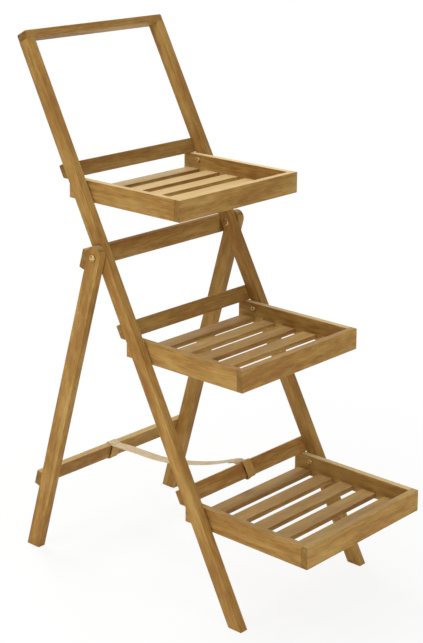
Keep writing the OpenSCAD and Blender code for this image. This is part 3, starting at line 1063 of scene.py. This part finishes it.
    def build(self) -> None:
        """Builds the free webbing and its two loops."""
        self.span()
        z = self.sizes
        off, down = self.gap + self.thick / 2, self.thick + self.fold_gap
        front, rear = z.leg_d / 2 - off, z.leg_d / 2 + z.rear_rail_t + off
        low = -z.rear_lower_rail_q - z.rear_lower_rail_h - off
        top = -z.rear_lower_rail_q + off
        corners = [(front - off, top), (rear, top), (rear, low), (front, low)]
        corners += [(front, top - down), (front - off - self.lead, top - down)]
        route = StrapRoute.rounded(corners, self.corner)
        slack = tuple(route.length - self.lead + s for s in self.rear_slack)
        self.loop("rear", route, self.places.leg(), slack, -self.lift)

        base, slope = z.rail_s(0), z.sin_front / z.cos_front
        front, rear = z.stile_d - off, z.stile_d + z.cross_rail_t + off
        top = base + z.cross_rail_h + off
        # The rail's bottom is level, so it slopes in the stiles' frame
        low, rear_low = (base + (d - z.stile_d) * slope - off / z.cos_front for d in (front, rear))
        corners = [(rear + off, top), (front, top), (front, low), (rear, rear_low)]
        corners += [(rear, top - down), (rear + off + self.lead, top - down)]
        route = StrapRoute.rounded(corners, self.corner)
        self.loop("front", route, self.places.stile(), self.front_slack, self.lift)


# ---------- timber ----------


@dataclass
class Board:
    """One piece of timber: a planed bar with eased edges and its own grain.

    The low and high corners are in millimetres in the local frame given by place.
    """

    name: str
    node: str
    body: str
    place: Matrix
    low: Point
    high: Point
    grain: Grain
    seed: int
    tone: float = 1.0
    # How strong the painted highlight is on the faces that look up
    top_highlight: float = 1.0
    ease: float = 1.4
    # Height above the floor at which the lower end is sawn off level
    saw_z: Optional[float] = None
    # Radii of a round top, and of a top's two ends
    crown: float = 0.0
    round_ends: float = 0.0
    # Local axis and level of the face that closes a joint, and the radius of its edges
    joint: Optional[tuple[int, float]] = None
    joint_ease: float = 0.6
    # A local point and the outward direction of a bevel that bears on another board
    bearing: Optional[tuple[Vector, Vector]] = None
    # Degrees of turn from which an edge is eased, share of the grain's direction in a face's
    # normal from which it is a sawn end, millimetres within which a place is at a joint, and
    # millimetres within which corners become one
    sharp: float = 35.0
    end_share: float = 0.7
    near: float = 0.05
    merge: float = 0.02

    def blank(self) -> Mesh:
        """Makes the bar in its local frame, with its crown or rounded ends if it has any.

        Returns:
            The mesh.
        """
        bm = bmesh.new()
        bmesh.ops.create_cube(bm, size=1.0)
        low, high = Vector(self.low) * MM, Vector(self.high) * MM
        bmesh.ops.scale(bm, vec=high - low, verts=bm.verts)
        bmesh.ops.translate(bm, vec=(low + high) / 2, verts=bm.verts)
        for radius, axis, segments in ((self.crown, 1, 18), (self.round_ends, 0, 8)):
            if radius:
                top = [e for e in bm.edges if all(v.co.z > high.z - MM for v in e.verts)]
                ends = [e for e in top if abs(e.verts[0].co[axis] - e.verts[1].co[axis]) < MM]
                self.round_edges(bm, ends, radius, segments)
        return bm

    @staticmethod
    def round_edges(bm: Mesh, edges: list, radius: float, segments: int = 3) -> set:
        """Rounds edges over.

        Args:
            bm: The mesh.
            edges: The edges.
            radius: Distance from the edge at which the rounding starts, in millimetres.
            segments: Number of steps over the rounding.

        Returns:
            The new faces.
        """
        made = bmesh.ops.bevel(
            bm, geom=edges, offset=radius * MM, offset_type="OFFSET", affect="EDGES",
            segments=segments, profile=0.5, material=-1,
        )
        return set(made["faces"])

    def at_joint(self, edge: bmesh.types.BMEdge) -> bool:
        """Tells whether an edge lies on the face that closes a joint.

        Args:
            edge: The edge, in the row frame.

        Returns:
            True where it does.
        """
        if self.joint is None:
            return False
        axis, level = self.joint
        back = self.place.inverted()
        return all(abs((back @ v.co)[axis] - level * MM) < self.near * MM for v in edge.verts)

    @staticmethod
    def saw(bm: Mesh, point: Vector, outward: Vector) -> None:
        """Saws off all that lies beyond a plane.

        Args:
            bm: The mesh.
            point: A point of the plane, in metres.
            outward: The plane's normal, toward what goes.
        """
        geom = [*bm.verts, *bm.edges, *bm.faces]
        bmesh.ops.bisect_plane(
            bm, geom=geom, dist=1e-7, plane_co=point, plane_no=outward, clear_outer=True
        )
        bmesh.ops.holes_fill(bm, edges=[e for e in bm.edges if e.is_boundary], sides=0)

    def lay_grain(self, bm: Mesh, eased: set) -> None:
        """Writes the board's grain coordinates, tone, sawn ends, painted edge highlights and
        painted top highlights.

        Args:
            bm: The board's mesh in the row frame.
            eased: The faces along its eased edges.
        """
        draw = random.Random(self.seed)
        # The pith lies 50 to 110 mm outside the board, so the rings cross it as flat arcs
        pith = draw.uniform(0.05, 0.11)
        heading = draw.uniform(0, 2 * math.pi)
        # Each board is cut 3 m further along the tree, so no two look alike
        cut = 3.0 * self.seed
        offset = Vector((pith * math.cos(heading), pith * math.sin(heading), cut))
        back = self.place.inverted()
        board = bm.verts.layers.float_vector.new(BOARD)
        tone = bm.verts.layers.float.new(TONE)
        ends, painted_light, painted_top_light = (bm.faces.layers.float.new(n) for n in (END_GRAIN, PAINTED_LIGHT, PAINTED_TOP_LIGHT))
        along = self.grain.value
        order = ((along + 1) % 3, (along + 2) % 3, along)
        for vert in bm.verts:
            local = back @ vert.co
            vert[board] = Vector(local[i] for i in order) + offset
            vert[tone] = self.tone
        turned = back.to_3x3()
        for face in bm.faces:
            face[ends] = float(abs((turned @ face.normal)[along]) > self.end_share)
            # Painted highlight along the eased edges and on the faces that look up
            face[painted_light] = float(face in eased)
            sky = max(0.0, (face.normal.z - TOP_LIGHT_FROM) / (1 - TOP_LIGHT_FROM))
            face[painted_top_light] = min(MOST_TOP_LIGHT, self.top_highlight * sky)

    def build(self, material: bpy.types.Material) -> None:
        """Builds the board.

        Args:
            material: The board's wood.
        """
        bm = self.blank()
        if self.bearing is not None:
            self.saw(bm, self.bearing[0] * MM, self.bearing[1])
        bmesh.ops.transform(bm, matrix=self.place, verts=bm.verts)
        if self.saw_z is not None:
            self.saw(bm, Vector((0.0, 0.0, self.saw_z * MM)), Vector((0.0, 0.0, -1.0)))
        bmesh.ops.remove_doubles(bm, verts=bm.verts, dist=self.merge * MM)
        sharp = [e for e in bm.edges if e.calc_face_angle(0.0) > math.radians(self.sharp)]
        eased = self.round_edges(bm, [e for e in sharp if not self.at_joint(e)], self.ease)
        if self.joint is not None:
            self.round_edges(bm, [e for e in bm.edges if self.at_joint(e)], self.joint_ease)
        bm.normal_update()
        self.lay_grain(bm, {f for f in eased if f.is_valid})
        finish_piece(bm, self.name, [material], "oiled_hardwood", self.node, self.body)


@dataclass
class Timberwork(Assembly):
    """An assembly that consists of boards."""

    def boards(self) -> Iterator[Board]:
        """The assembly's boards."""
        raise NotImplementedError

    def build(self) -> None:
        """Builds the boards."""
        for board in self.boards():
            board.build(self.finishes.hardwood)


@dataclass
class FrontFrame(Timberwork):
    """The leaning ladder: two stiles, the flat rail on top and three cross rails."""

    body: str = "front_frame"
    # What is sawn off level at the foot of a stile and at the bottom of a cross rail
    stile_spare: float = 40.0
    rail_spare: float = 5.0
    cap_tone: float = 0.9
    cap_ease: float = 2.2
    cap_end_radius: float = 3.5
    rail_tones: tuple[float, float, float] = (1.1, 1.06, 0.88)

    def boards(self) -> Iterator[Board]:
        """The boards of the front frame.

        Yields:
            Each board.
        """
        z, place, half = self.sizes, self.places.stile(), self.sizes.frame_w / 2
        for side in Side:
            inner, outer = side.span(half - z.stile_w, half)
            yield Board(
                f"front_stile_{side.label}", f"{side.label}_stile", self.body, place,
                (inner, 0, -self.stile_spare), (outer, z.stile_d, z.stile_l), Grain.HEIGHT,
                seed=11 + side.value, saw_z=0.0, joint=(2, z.stile_l),
            )
        yield Board(
            "front_cap_rail", "top_rail", self.body, place,
            (-half, 0, z.stile_l), (half, z.stile_d, z.stile_l + z.cap_h), Grain.ACROSS,
            seed=21, tone=self.cap_tone, ease=self.cap_ease,
            round_ends=self.cap_end_radius, joint=(2, z.stile_l),
        )
        back = z.stile_d + z.cross_rail_t
        for tray, label in enumerate(("lower", "middle", "upper")):
            base = z.rail_s(tray)
            yield Board(
                f"front_cross_rail_{label}", f"{label}_cross_rail", self.body, place,
                (-half, z.stile_d, base - self.rail_spare), (half, back, base + z.cross_rail_h),
                Grain.ACROSS, seed=31 + tray, tone=self.rail_tones[tray],
                saw_z=z.rim_z(tray) + z.seat_gap,
            )


@dataclass
class RearFrame(Timberwork):
    """The hinged rear frame: two legs with rounded tops and two rails on their backs."""

    body: str = "rear_frame"
    # Length of a leg's blank below the hinge, before its foot is sawn off level
    blank_l: float = 760.0
    # Painted highlight on the rear rails' faces that look up: weak on the upper rail, which the
    # tray above shades, strong on the lower
    rail_top_highlights: tuple[float, float] = (0.6, 1.8)

    def boards(self) -> Iterator[Board]:
        """The boards of the rear frame.

        Yields:
            Each board.
        """
        z, place, half = self.sizes, self.places.leg(), self.sizes.leg_d / 2
        for side in Side:
            inner, outer = side.span(z.leg_in, z.leg_out)
            yield Board(
                f"rear_leg_{side.label}", f"{side.label}_rear_leg", self.body, place,
                (inner, -half, -self.blank_l), (outer, half, z.leg_top), Grain.HEIGHT,
                seed=41 + side.value, saw_z=0.0, crown=half - 0.02,
            )
        # The upper rail's top front edge is bevelled to bear flat on the stiles' backs
        stop = Vector((0.0, -math.cos(z.open_angle), math.sin(z.open_angle)))
        bearings = ((Vector((0.0, half, -z.stop_q)), stop), None)
        for i, (label, q, height) in enumerate(z.rear_rails):
            yield Board(
                f"rear_rail_{label}", f"rear_{label}_rail", self.body, place,
                (-z.leg_out, half, -q - height), (z.leg_out, half + z.rear_rail_t, -q),
                Grain.ACROSS, seed=51 + i, top_highlight=self.rail_top_highlights[i], bearing=bearings[i],
            )


@dataclass
class SlattedTray(Timberwork):
    """One tray: two sides, a front board and the slats between them."""

    label: str
    level: int
    slat_tone: float
    top_highlight: float
    # The first slat is of darker wood
    # Painted shade darkens the first slat, which the cross rail shades
    first_slat_shade: float = 0.86
    # Painted shade darkens the right side, and its upper edge gets the strongest painted highlight
    # of all
    right_shade_tone: float = 0.96
    right_top_highlight: float = 3.6

    def boards(self) -> Iterator[Board]:
        """The boards of the tray.

        Yields:
            Each board.
        """
        z, place, body = self.sizes, self.places.tray(self.level), f"{self.label}_tray"
        rim, seed = z.pivot_drop, 100 * (self.level + 1)
        front, half = z.tray_back - z.tray_l, z.tray_w / 2
        low, back = rim - z.board_h, front + z.board_t
        right = (Side.RIGHT, self.right_shade_tone, self.right_top_highlight)
        for side, tone, top_highlight in ((Side.LEFT, 1.0, 1.0), right):
            inner, outer = side.span(z.tray_in, half)
            yield Board(
                f"{body}_side_{side.label}", f"{body}_{side.label}_side", body, place,
                (inner, back, low), (outer, z.tray_back, rim), Grain.DEPTH,
                seed=seed + 1 + side.value, tone=tone, top_highlight=self.top_highlight * top_highlight, joint=(1, back),
            )
        yield Board(
            f"{body}_board_front", f"{body}_front_board", body, place,
            (-half, front, low), (half, back, rim), Grain.ACROSS,
            seed=seed + 5, top_highlight=self.top_highlight, joint=(1, back),
        )
        top = rim - z.slat_drop
        for i in range(z.slat_n):
            rear = z.tray_back - z.slat_back - i * z.slat_step
            yield Board(
                f"{body}_bar_{i + 1}", f"{body}_slat_{i + 1}", body, place,
                (-z.tray_in, rear - z.slat_w, top - z.slat_t), (z.tray_in, rear, top),
                Grain.ACROSS, seed=seed + 10 + i, top_highlight=self.top_highlight,
                tone=self.slat_tone * (self.first_slat_shade if i == 0 else 1.0),
            )


# ---------- hardware ----------


def turned_part(
    profile: Profile,
    place: Matrix,
    closed: bool = False,
    recess: Recess = Recess.NONE,
    recess_mm: float = 0.0,
) -> Mesh:
    """Turns a profile about the local X axis, and forms its drive recess.

    Args:
        profile: Points (x, radius) in millimetres, along the local X axis.
        place: The local frame, in metres.
        closed: Whether the profile is a ring that joins up, as a washer's section does.
        recess: The shape of the drive.
        recess_mm: The radius of the profile's points that form the drive's wall.

    Returns:
        The mesh in the row frame.
    """
    bm = bmesh.new()
    verts = [bm.verts.new((x * MM, 0, r * MM)) for x, r in profile]
    for a, b in zip(verts, verts[1:]):
        bm.edges.new((a, b))
    if closed:
        bm.edges.new((verts[-1], verts[0]))
    bmesh.ops.spin(
        bm, geom=[*bm.verts, *bm.edges], cent=(0, 0, 0), axis=(1, 0, 0),
        angle=2 * math.pi, steps=48, use_merge=True,
    )
    bmesh.ops.remove_doubles(bm, verts=bm.verts, dist=TINY)
    if recess is not Recess.NONE:
        for vert in bm.verts:
            far = math.hypot(vert.co.y, vert.co.z)
            if abs(far - recess_mm * MM) < TINY:
                angle = math.atan2(vert.co.z, vert.co.y)
                share = recess.wall(recess_mm * MM, angle) / far
                vert.co.y *= share
                vert.co.z *= share
    bmesh.ops.transform(bm, matrix=place, verts=bm.verts)
    bmesh.ops.recalc_face_normals(bm, faces=bm.faces)
    return bm


def joined(parts: Iterable[Mesh]) -> Mesh:
    """Joins several meshes into one and frees them.

    Args:
        parts: The meshes.

    Returns:
        The joined mesh.
    """
    whole = bmesh.new()
    for part in parts:
        scratch = bpy.data.meshes.new("scratch")
        part.to_mesh(scratch)
        part.free()
        whole.from_mesh(scratch)
        bpy.data.meshes.remove(scratch)
    return whole


@dataclass
class Hardware(Assembly):
    """Bolts, nuts, washers and screws of the stand."""

    hinge_bolt_d: float = 8.0
    hinge_head_d: float = 15.0
    hinge_head_h: float = 4.5
    sleeve_d: float = 11.0
    sleeve_flange_d: float = 15.0
    sleeve_flange_t: float = 1.6
    hinge_washer_d: float = 20.0
    pivot_bolt_d: float = 6.0
    pivot_head_d: float = 12.0
    pivot_head_h: float = 3.4
    insert_l: float = 13.0
    pivot_washer_d: float = 14.0
    socket_d: float = 5.8
    socket_t: float = 2.0
    screw_d: float = 4.0
    screw_head_d: float = 8.0
    screw_head_h: float = 2.6
    screw_l: float = 28.0
    screw_tip_l: float = 5.0
    screw_step: float = 15.0
    cross_r: float = 2.2
    cross_t: float = 1.6
    # Room of a bolt in its nut and in its washer, on the diameter
    fit: float = 0.1
    # How far from the stile's inner face a hinge bolt ends
    bolt_end: float = 4.0

    def bolt_profile(
        self, x: float, head_d: float, head_h: float, shank_d: float, shank_l: float
    ) -> Profile:
        """Section of a button head bolt from its tip to the bottom of its socket.

        Args:
            x: Place of the head's underside; the head lies beyond it.
            head_d: Head diameter.
            head_h: Head height.
            shank_d: Shank diameter.
            shank_l: Shank length.

        Returns:
            Points (x, radius) in millimetres.
        """
        r, shank, socket = head_d / 2, shank_d / 2, self.socket_d / 2
        tip, top, floor = x - shank_l, x + head_h, x + head_h - self.socket_t
        rim = socket + 0.5
        # The dome rises from 0.3 of the head's height to its top
        angles = [math.pi / 2 * i / 7 for i in range(8)]
        heights = [x + head_h * (0.3 + 0.7 * math.sin(a)) for a in angles]
        dome = [(high, rim + (r - rim) * math.cos(a)) for high, a in zip(heights, angles)]
        return [
            (tip, 0.0), (tip, shank - 0.6), (tip + 0.6, shank), (x, shank), (x, r - 0.3),
            (x + 0.3, r), *dome, (top, socket + 0.25), (top - 0.2, socket), (floor, socket),
            (floor, 0.0),
        ]

    def sleeve_profile(self, x: float, end: float) -> Profile:
        """Section of a sleeve nut from its socket over its flange to the end of its bore.

        Args:
            x: Place of the flange's inner face.
            end: Place of the sleeve's open end.

        Returns:
            Points (x, radius) in millimetres.
        """
        flange, socket, sleeve = self.sleeve_flange_d / 2, self.socket_d / 2, self.sleeve_d / 2
        floor, seat, bore = x + self.socket_t - 1, x + 2.5, (self.hinge_bolt_d + self.fit) / 2
        return [
            (floor, 0.0), (floor, socket), (x - 0.7, socket), (x - 0.9, socket + 0.2),
            (x - 0.9, socket + 0.7), (x - 0.6, flange - 1.4), (x - 0.2, flange - 0.3),
            (x + 0.1, flange), (x + self.sleeve_flange_t, flange),
            (x + self.sleeve_flange_t, sleeve), (end, sleeve), (end, bore), (seat, bore),
            (seat, 0.0),
        ]

    def washer_profile(self, x: float, thick: float, outer_d: float, bolt_d: float) -> Profile:
        """Section of a stamped washer with its edges rolled over.

        Args:
            x: Place of its inner face.
            thick: Thickness.
            outer_d: Outer diameter.
            bolt_d: Diameter of the bolt in it.

        Returns:
            Points (x, radius) in millimetres.
        """
        rim, hole, c = outer_d / 2, (bolt_d + self.fit) / 2, thick * 0.25
        far = x + thick
        return [
            (x, hole + c), (x, rim - c), (x + c, rim), (far - c, rim),
            (far, rim - c), (far, hole + c), (far - c, hole), (x + c, hole),
        ]

    def both_sides(self, profile: Profile, place: Matrix, **options: object) -> list[Mesh]:
        """Turns the same profile on the right and, mirrored, on the left.

        Args:
            profile: Points (x, radius) for the right side.
            place: The frame whose X axis both lie on.
            **options: Passed on to turned_part.

        Returns:
            The two meshes.
        """
        left = [(-x, r) for x, r in profile]
        return [turned_part(p, place, **options) for p in (profile, left)]

    def bolts(self) -> None:
        """Builds the bolts, sleeve nuts and washers of the hinges and of the tray pivots."""
        z = self.sizes
        half, tray_half = z.frame_w / 2, z.tray_w / 2
        reach = 2 * z.leg_gap + z.leg_w + z.hinge_washer_t + z.stile_w - self.bolt_end
        head = (z.leg_out + z.leg_gap, self.hinge_head_d, self.hinge_head_h)
        hinge_bolt = self.bolt_profile(*head, self.hinge_bolt_d, reach)
        sleeve = self.sleeve_profile(half - z.stile_w, half)
        ring = (z.hinge_washer_t, self.hinge_washer_d, self.hinge_bolt_d)
        hinge_washer = self.washer_profile(half, *ring)
        reach = 2 * z.side_gap + z.board_t + z.pivot_washer_t + self.insert_l - 1
        head = (z.side_gap - z.tray_in, self.pivot_head_d, self.pivot_head_h)
        pivot_bolt = self.bolt_profile(*head, self.pivot_bolt_d, reach)
        ring = (z.pivot_washer_t, self.pivot_washer_d, self.pivot_bolt_d)
        pivot_washer = self.washer_profile(tray_half + z.side_gap, *ring)
        on_hinge = Matrix.Translation((0, z.hinge_d * MM, z.hinge_s * MM))
        hinge = [self.places.stile() @ on_hinge]
        pivots = [self.places.tray(level) for level in range(3)]
        hexagon = {"recess": Recess.HEXAGON, "recess_mm": self.socket_d / 2}
        closed = {"closed": True}
        for node, count, profile, places, options in (
            ("hinge_bolts", "pair", hinge_bolt, hinge, hexagon),
            ("hinge_sleeve_nuts", "pair", sleeve, hinge, hexagon),
            ("hinge_washers", "pair", hinge_washer, hinge, closed),
            ("tray_pivot_bolts", "all", pivot_bolt, pivots, hexagon),
            ("tray_pivot_washers", "all", pivot_washer, pivots, closed),
        ):
            made = [m for place in places for m in self.both_sides(profile, place, **options)]
            self.piece(f"{node}_{count}", node, made)

    def screw(self, frame_place: Matrix, x: float, y: float, z: float) -> Mesh:
        """Builds one countersunk screw that points to the front.

        Args:
            frame_place: The local frame.
            x: Place of the head's face across the stand, in millimetres.
            y: Its place in depth.
            z: Its place in height.

        Returns:
            The screw's mesh.
        """
        cross, head, shank = self.cross_r, self.screw_head_d / 2, self.screw_d / 2
        profile = [
            (-self.screw_l, 0.0), (-self.screw_l + self.screw_tip_l, shank),
            (-self.screw_head_h, shank), (-0.35, head), (-0.05, head), (0.0, head - 0.15),
            (0.0, cross + 0.3), (0.0, cross), (-self.cross_t, cross), (-self.cross_t, 0.0),
        ]
        spot = Matrix.Translation((x * MM, y * MM, z * MM))
        place = frame_place @ (spot @ Matrix.Rotation(math.pi / 2, 4, "Z"))
        return turned_part(profile, place, recess=Recess.CROSS, recess_mm=cross)

    def screws(self) -> None:
        """Builds the screws that hold the rails."""
        z = self.sizes
        bevel = z.cross_rail_t * z.sin_front / z.cos_front
        middles = [z.rail_s(i) + bevel + (z.cross_rail_h - bevel) / 2 for i in range(3)]
        rear_middles = [-q - height / 2 for _, q, height in z.rear_rails]
        at = (z.frame_w / 2 - z.stile_w / 2, z.stile_d + z.cross_rail_t)
        rear_at = (z.leg_in + z.leg_w / 2, z.leg_d / 2 + z.rear_rail_t)
        for node, body, place, (x, y), heights in (
            ("cross_rail_screws", "front_frame", self.places.stile(), at, middles),
            ("rear_rail_screws", "rear_frame", self.places.leg(), rear_at, rear_middles),
        ):
            made = [
                self.screw(place, side.value * x, y, height + step * self.screw_step)
                for height in heights
                for side in Side
                for step in (-0.5, 0.5)
            ]
            self.piece(f"{node}_all", node, made, body)

    def piece(
        self, name: str, node: str, parts: Iterable[Mesh], body: str = "front_frame"
    ) -> None:
        """Finishes a set of like fasteners as one piece.

        Args:
            name: The piece's name.
            node: The CAD node that it stands for.
            parts: The fasteners' meshes.
            body: The body that it moves with.
        """
        materials = [self.finishes.zinc]
        finish_piece(joined(parts), name, materials, "zinc_plated_steel", node, body)

    def build(self) -> None:
        """Builds all the hardware, and finishes the CAD nodes that stay."""
        self.bolts()
        self.screws()
        kept = {"tray_pivot_inserts": self.finishes.brass}
        for end in ("top_rail", "upper_tray", "middle_tray", "lower_tray"):
            kept[f"{end}_dowels"] = self.finishes.dowel
        for node, material in kept.items():
            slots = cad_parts[node].data.materials
            slots.clear()
            slots.append(material)
            LOG.info("%s keeps its CAD shape", node)


# ---------- studio ----------


@dataclass(frozen=True)
class PhotoCamera:
    """The camera that gives the photograph's view of the stand."""

    place: Point = (-2.31619, -2.05529, 1.524232)
    yaw: float = 48.082
    pitch: float = -10.857
    roll: float = 0.488
    lens: float = 88.247
    shift_y: float = -0.30327

    def build(self) -> None:
        """Makes the scene's camera."""
        yaw, pitch, roll = (math.radians(a) for a in (self.yaw, self.pitch, self.roll))
        right = Vector((math.cos(yaw), -math.sin(yaw), 0))
        level = math.cos(pitch)
        ahead = Vector((math.sin(yaw) * level, math.cos(yaw) * level, math.sin(pitch)))
        up = right.cross(ahead)
        side = right * math.cos(roll) + up * math.sin(roll)
        rise = up * math.cos(roll) - right * math.sin(roll)
        lens = bpy.data.cameras.new("photo_camera")
        lens.sensor_width, lens.lens, lens.shift_y = 36.0, self.lens, self.shift_y
        lens.clip_end = 60.0
        camera = bpy.data.objects.new("photo_camera", lens)
        turn = Matrix((side, rise, -ahead)).transposed().to_4x4()
        camera.matrix_world = Matrix.Translation(self.place) @ turn
        bpy.context.scene.collection.objects.link(camera)
        bpy.context.scene.camera = camera


@dataclass(frozen=True)
class SoftBox:
    """One large soft lamp."""

    name: str
    place: Point
    size: float
    power: float

    def build(self) -> None:
        """Makes the lamp, aimed at the middle of the stand."""
        light = bpy.data.lights.new(self.name, "AREA")
        light.shape, light.size, light.energy = "DISK", self.size, self.power
        lamp = bpy.data.objects.new(self.name, light)
        lamp.location = self.place
        aim = Vector((0, 0, 0.55)) - Vector(self.place)
        lamp.rotation_euler = aim.to_track_quat("-Z", "Y").to_euler()
        bpy.context.scene.collection.objects.link(lamp)


def seen_directly(add: Callable) -> Socket:
    """Tells the rays that see the studio from those that only carry its light.

    Args:
        add: add_node for the node tree.

    Returns:
        A socket that is 1 for camera, glossy and transmission rays and 0 for the others.
    """
    seen = add("LightPath", out="Is Camera Ray")
    path = seen.node.outputs
    for ray in ("Is Glossy Ray", "Is Transmission Ray"):
        seen = add("Math", {0: seen, 1: path[ray]}, operation="MAXIMUM")
    return seen


@dataclass(frozen=True)
class Studio:
    """A pale floor, a white surround and soft lamps."""

    floor_colour: str = "#eeeeec"
    floor_radius: float = 7.0
    # Distances from the stand over which the floor runs out to white, and how white it is
    # near the stand
    floor_fade: tuple[float, float] = (0.4, 1.2)
    floor_white: float = 0.86
    ambient: float = 0.35
    lamps: tuple[SoftBox, ...] = (
        SoftBox("back_softbox", (0.4, 1.9, 2.8), 1.6, 56.0),
        SoftBox("upper_left_softbox", (-1.8, 0.0, 2.8), 1.6, 24.0),
        SoftBox("upper_front_softbox", (-0.3, -1.7, 3.0), 1.6, 12.0),
        SoftBox("top_softbox", (0.0, 0.5, 2.3), 0.9, 6.0),
        SoftBox("low_left_fill", (-1.6, 0.1, 0.35), 0.9, 7.8),
        SoftBox("low_front_fill", (-0.3, -2.0, 0.25), 0.9, 13.0),
    )

    def surround(self) -> None:
        """Makes a world that looks white and lights the stand evenly."""
        world = bpy.data.worlds.new("studio_surround")
        bpy.context.scene.world = world
        world.use_nodes = True
        world.node_tree.nodes.clear()
        add = partial(add_node, world.node_tree)
        ends = {"To Min": self.ambient, "To Max": 1.0}
        level = add("MapRange", {"Value": seen_directly(add), **ends})
        glow = add("Background", {"Color": (1, 1, 1, 1), "Strength": level})
        add("OutputWorld", {"Surface": glow})

    def floor(self) -> None:
        """Makes the floor: it keeps the stand's shadow and runs out to plain white."""
        bm = bmesh.new()
        bmesh.ops.create_circle(bm, cap_ends=True, segments=96, radius=self.floor_radius)
        mesh = bpy.data.meshes.new("studio_floor")
        bm.to_mesh(mesh)
        bm.free()
        floor = bpy.data.objects.new("studio_floor", mesh)
        bpy.context.scene.collection.objects.link(floor)
        # Matt paint has no gloss, so the floor shows the shadow and no reflection
        material, add = new_material("painted_studio_floor")
        away = add("VectorMath", {0: add("TexCoord", out="Object")}, "Value", operation="LENGTH")
        near, far = self.floor_fade
        ends = {"From Min": near, "From Max": far, "To Min": self.floor_white, "To Max": 1.0}
        plain = add("MapRange", {"Value": away, **ends}, interpolation_type="SMOOTHSTEP")
        share = add("Math", {0: seen_directly(add), 1: plain}, operation="MULTIPLY")
        paint = add("BsdfDiffuse", {"Color": linear(self.floor_colour)})
        white = add("Emission", {"Color": (1, 1, 1, 1), "Strength": 1.0})
        add("OutputMaterial", {"Surface": add("MixShader", {0: share, 1: paint, 2: white})})
        mesh.materials.append(material)
        floor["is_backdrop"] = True

    def build(self) -> None:
        """Makes the surround, the floor and the lamps."""
        bpy.context.scene.view_settings.view_transform = "Standard"
        self.surround()
        self.floor()
        for lamp in self.lamps:
            lamp.build()


def main() -> None:
    """Builds the stand and its studio."""
    logging.basicConfig(level=logging.INFO, format="%(name)s: %(message)s")
    sizes = StandSizes()
    shared = (sizes, Places(sizes), Finishes.build())
    PhotoCamera().build()
    CheckStrap(*shared).build()
    FrontFrame(*shared).build()
    RearFrame(*shared).build()
    # The upper tray gets the strongest painted highlight on faces that look up, and the slats of
    # the lower two are made lighter
    trays = (("lower", 1.12, 0.9), ("middle", 1.13, 0.75), ("upper", 0.98, 2.0))
    for level, (label, slat_tone, top_highlight) in enumerate(trays):
        SlattedTray(*shared, label, level, slat_tone, top_highlight).build()
    Hardware(*shared).build()
    Studio().build()
    boxes = {"cad": CAD_BOX, "visual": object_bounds()}
    {name: [list(c) for c in box] for name, box in boxes.items()}


if __name__ == "__main__":
    main()
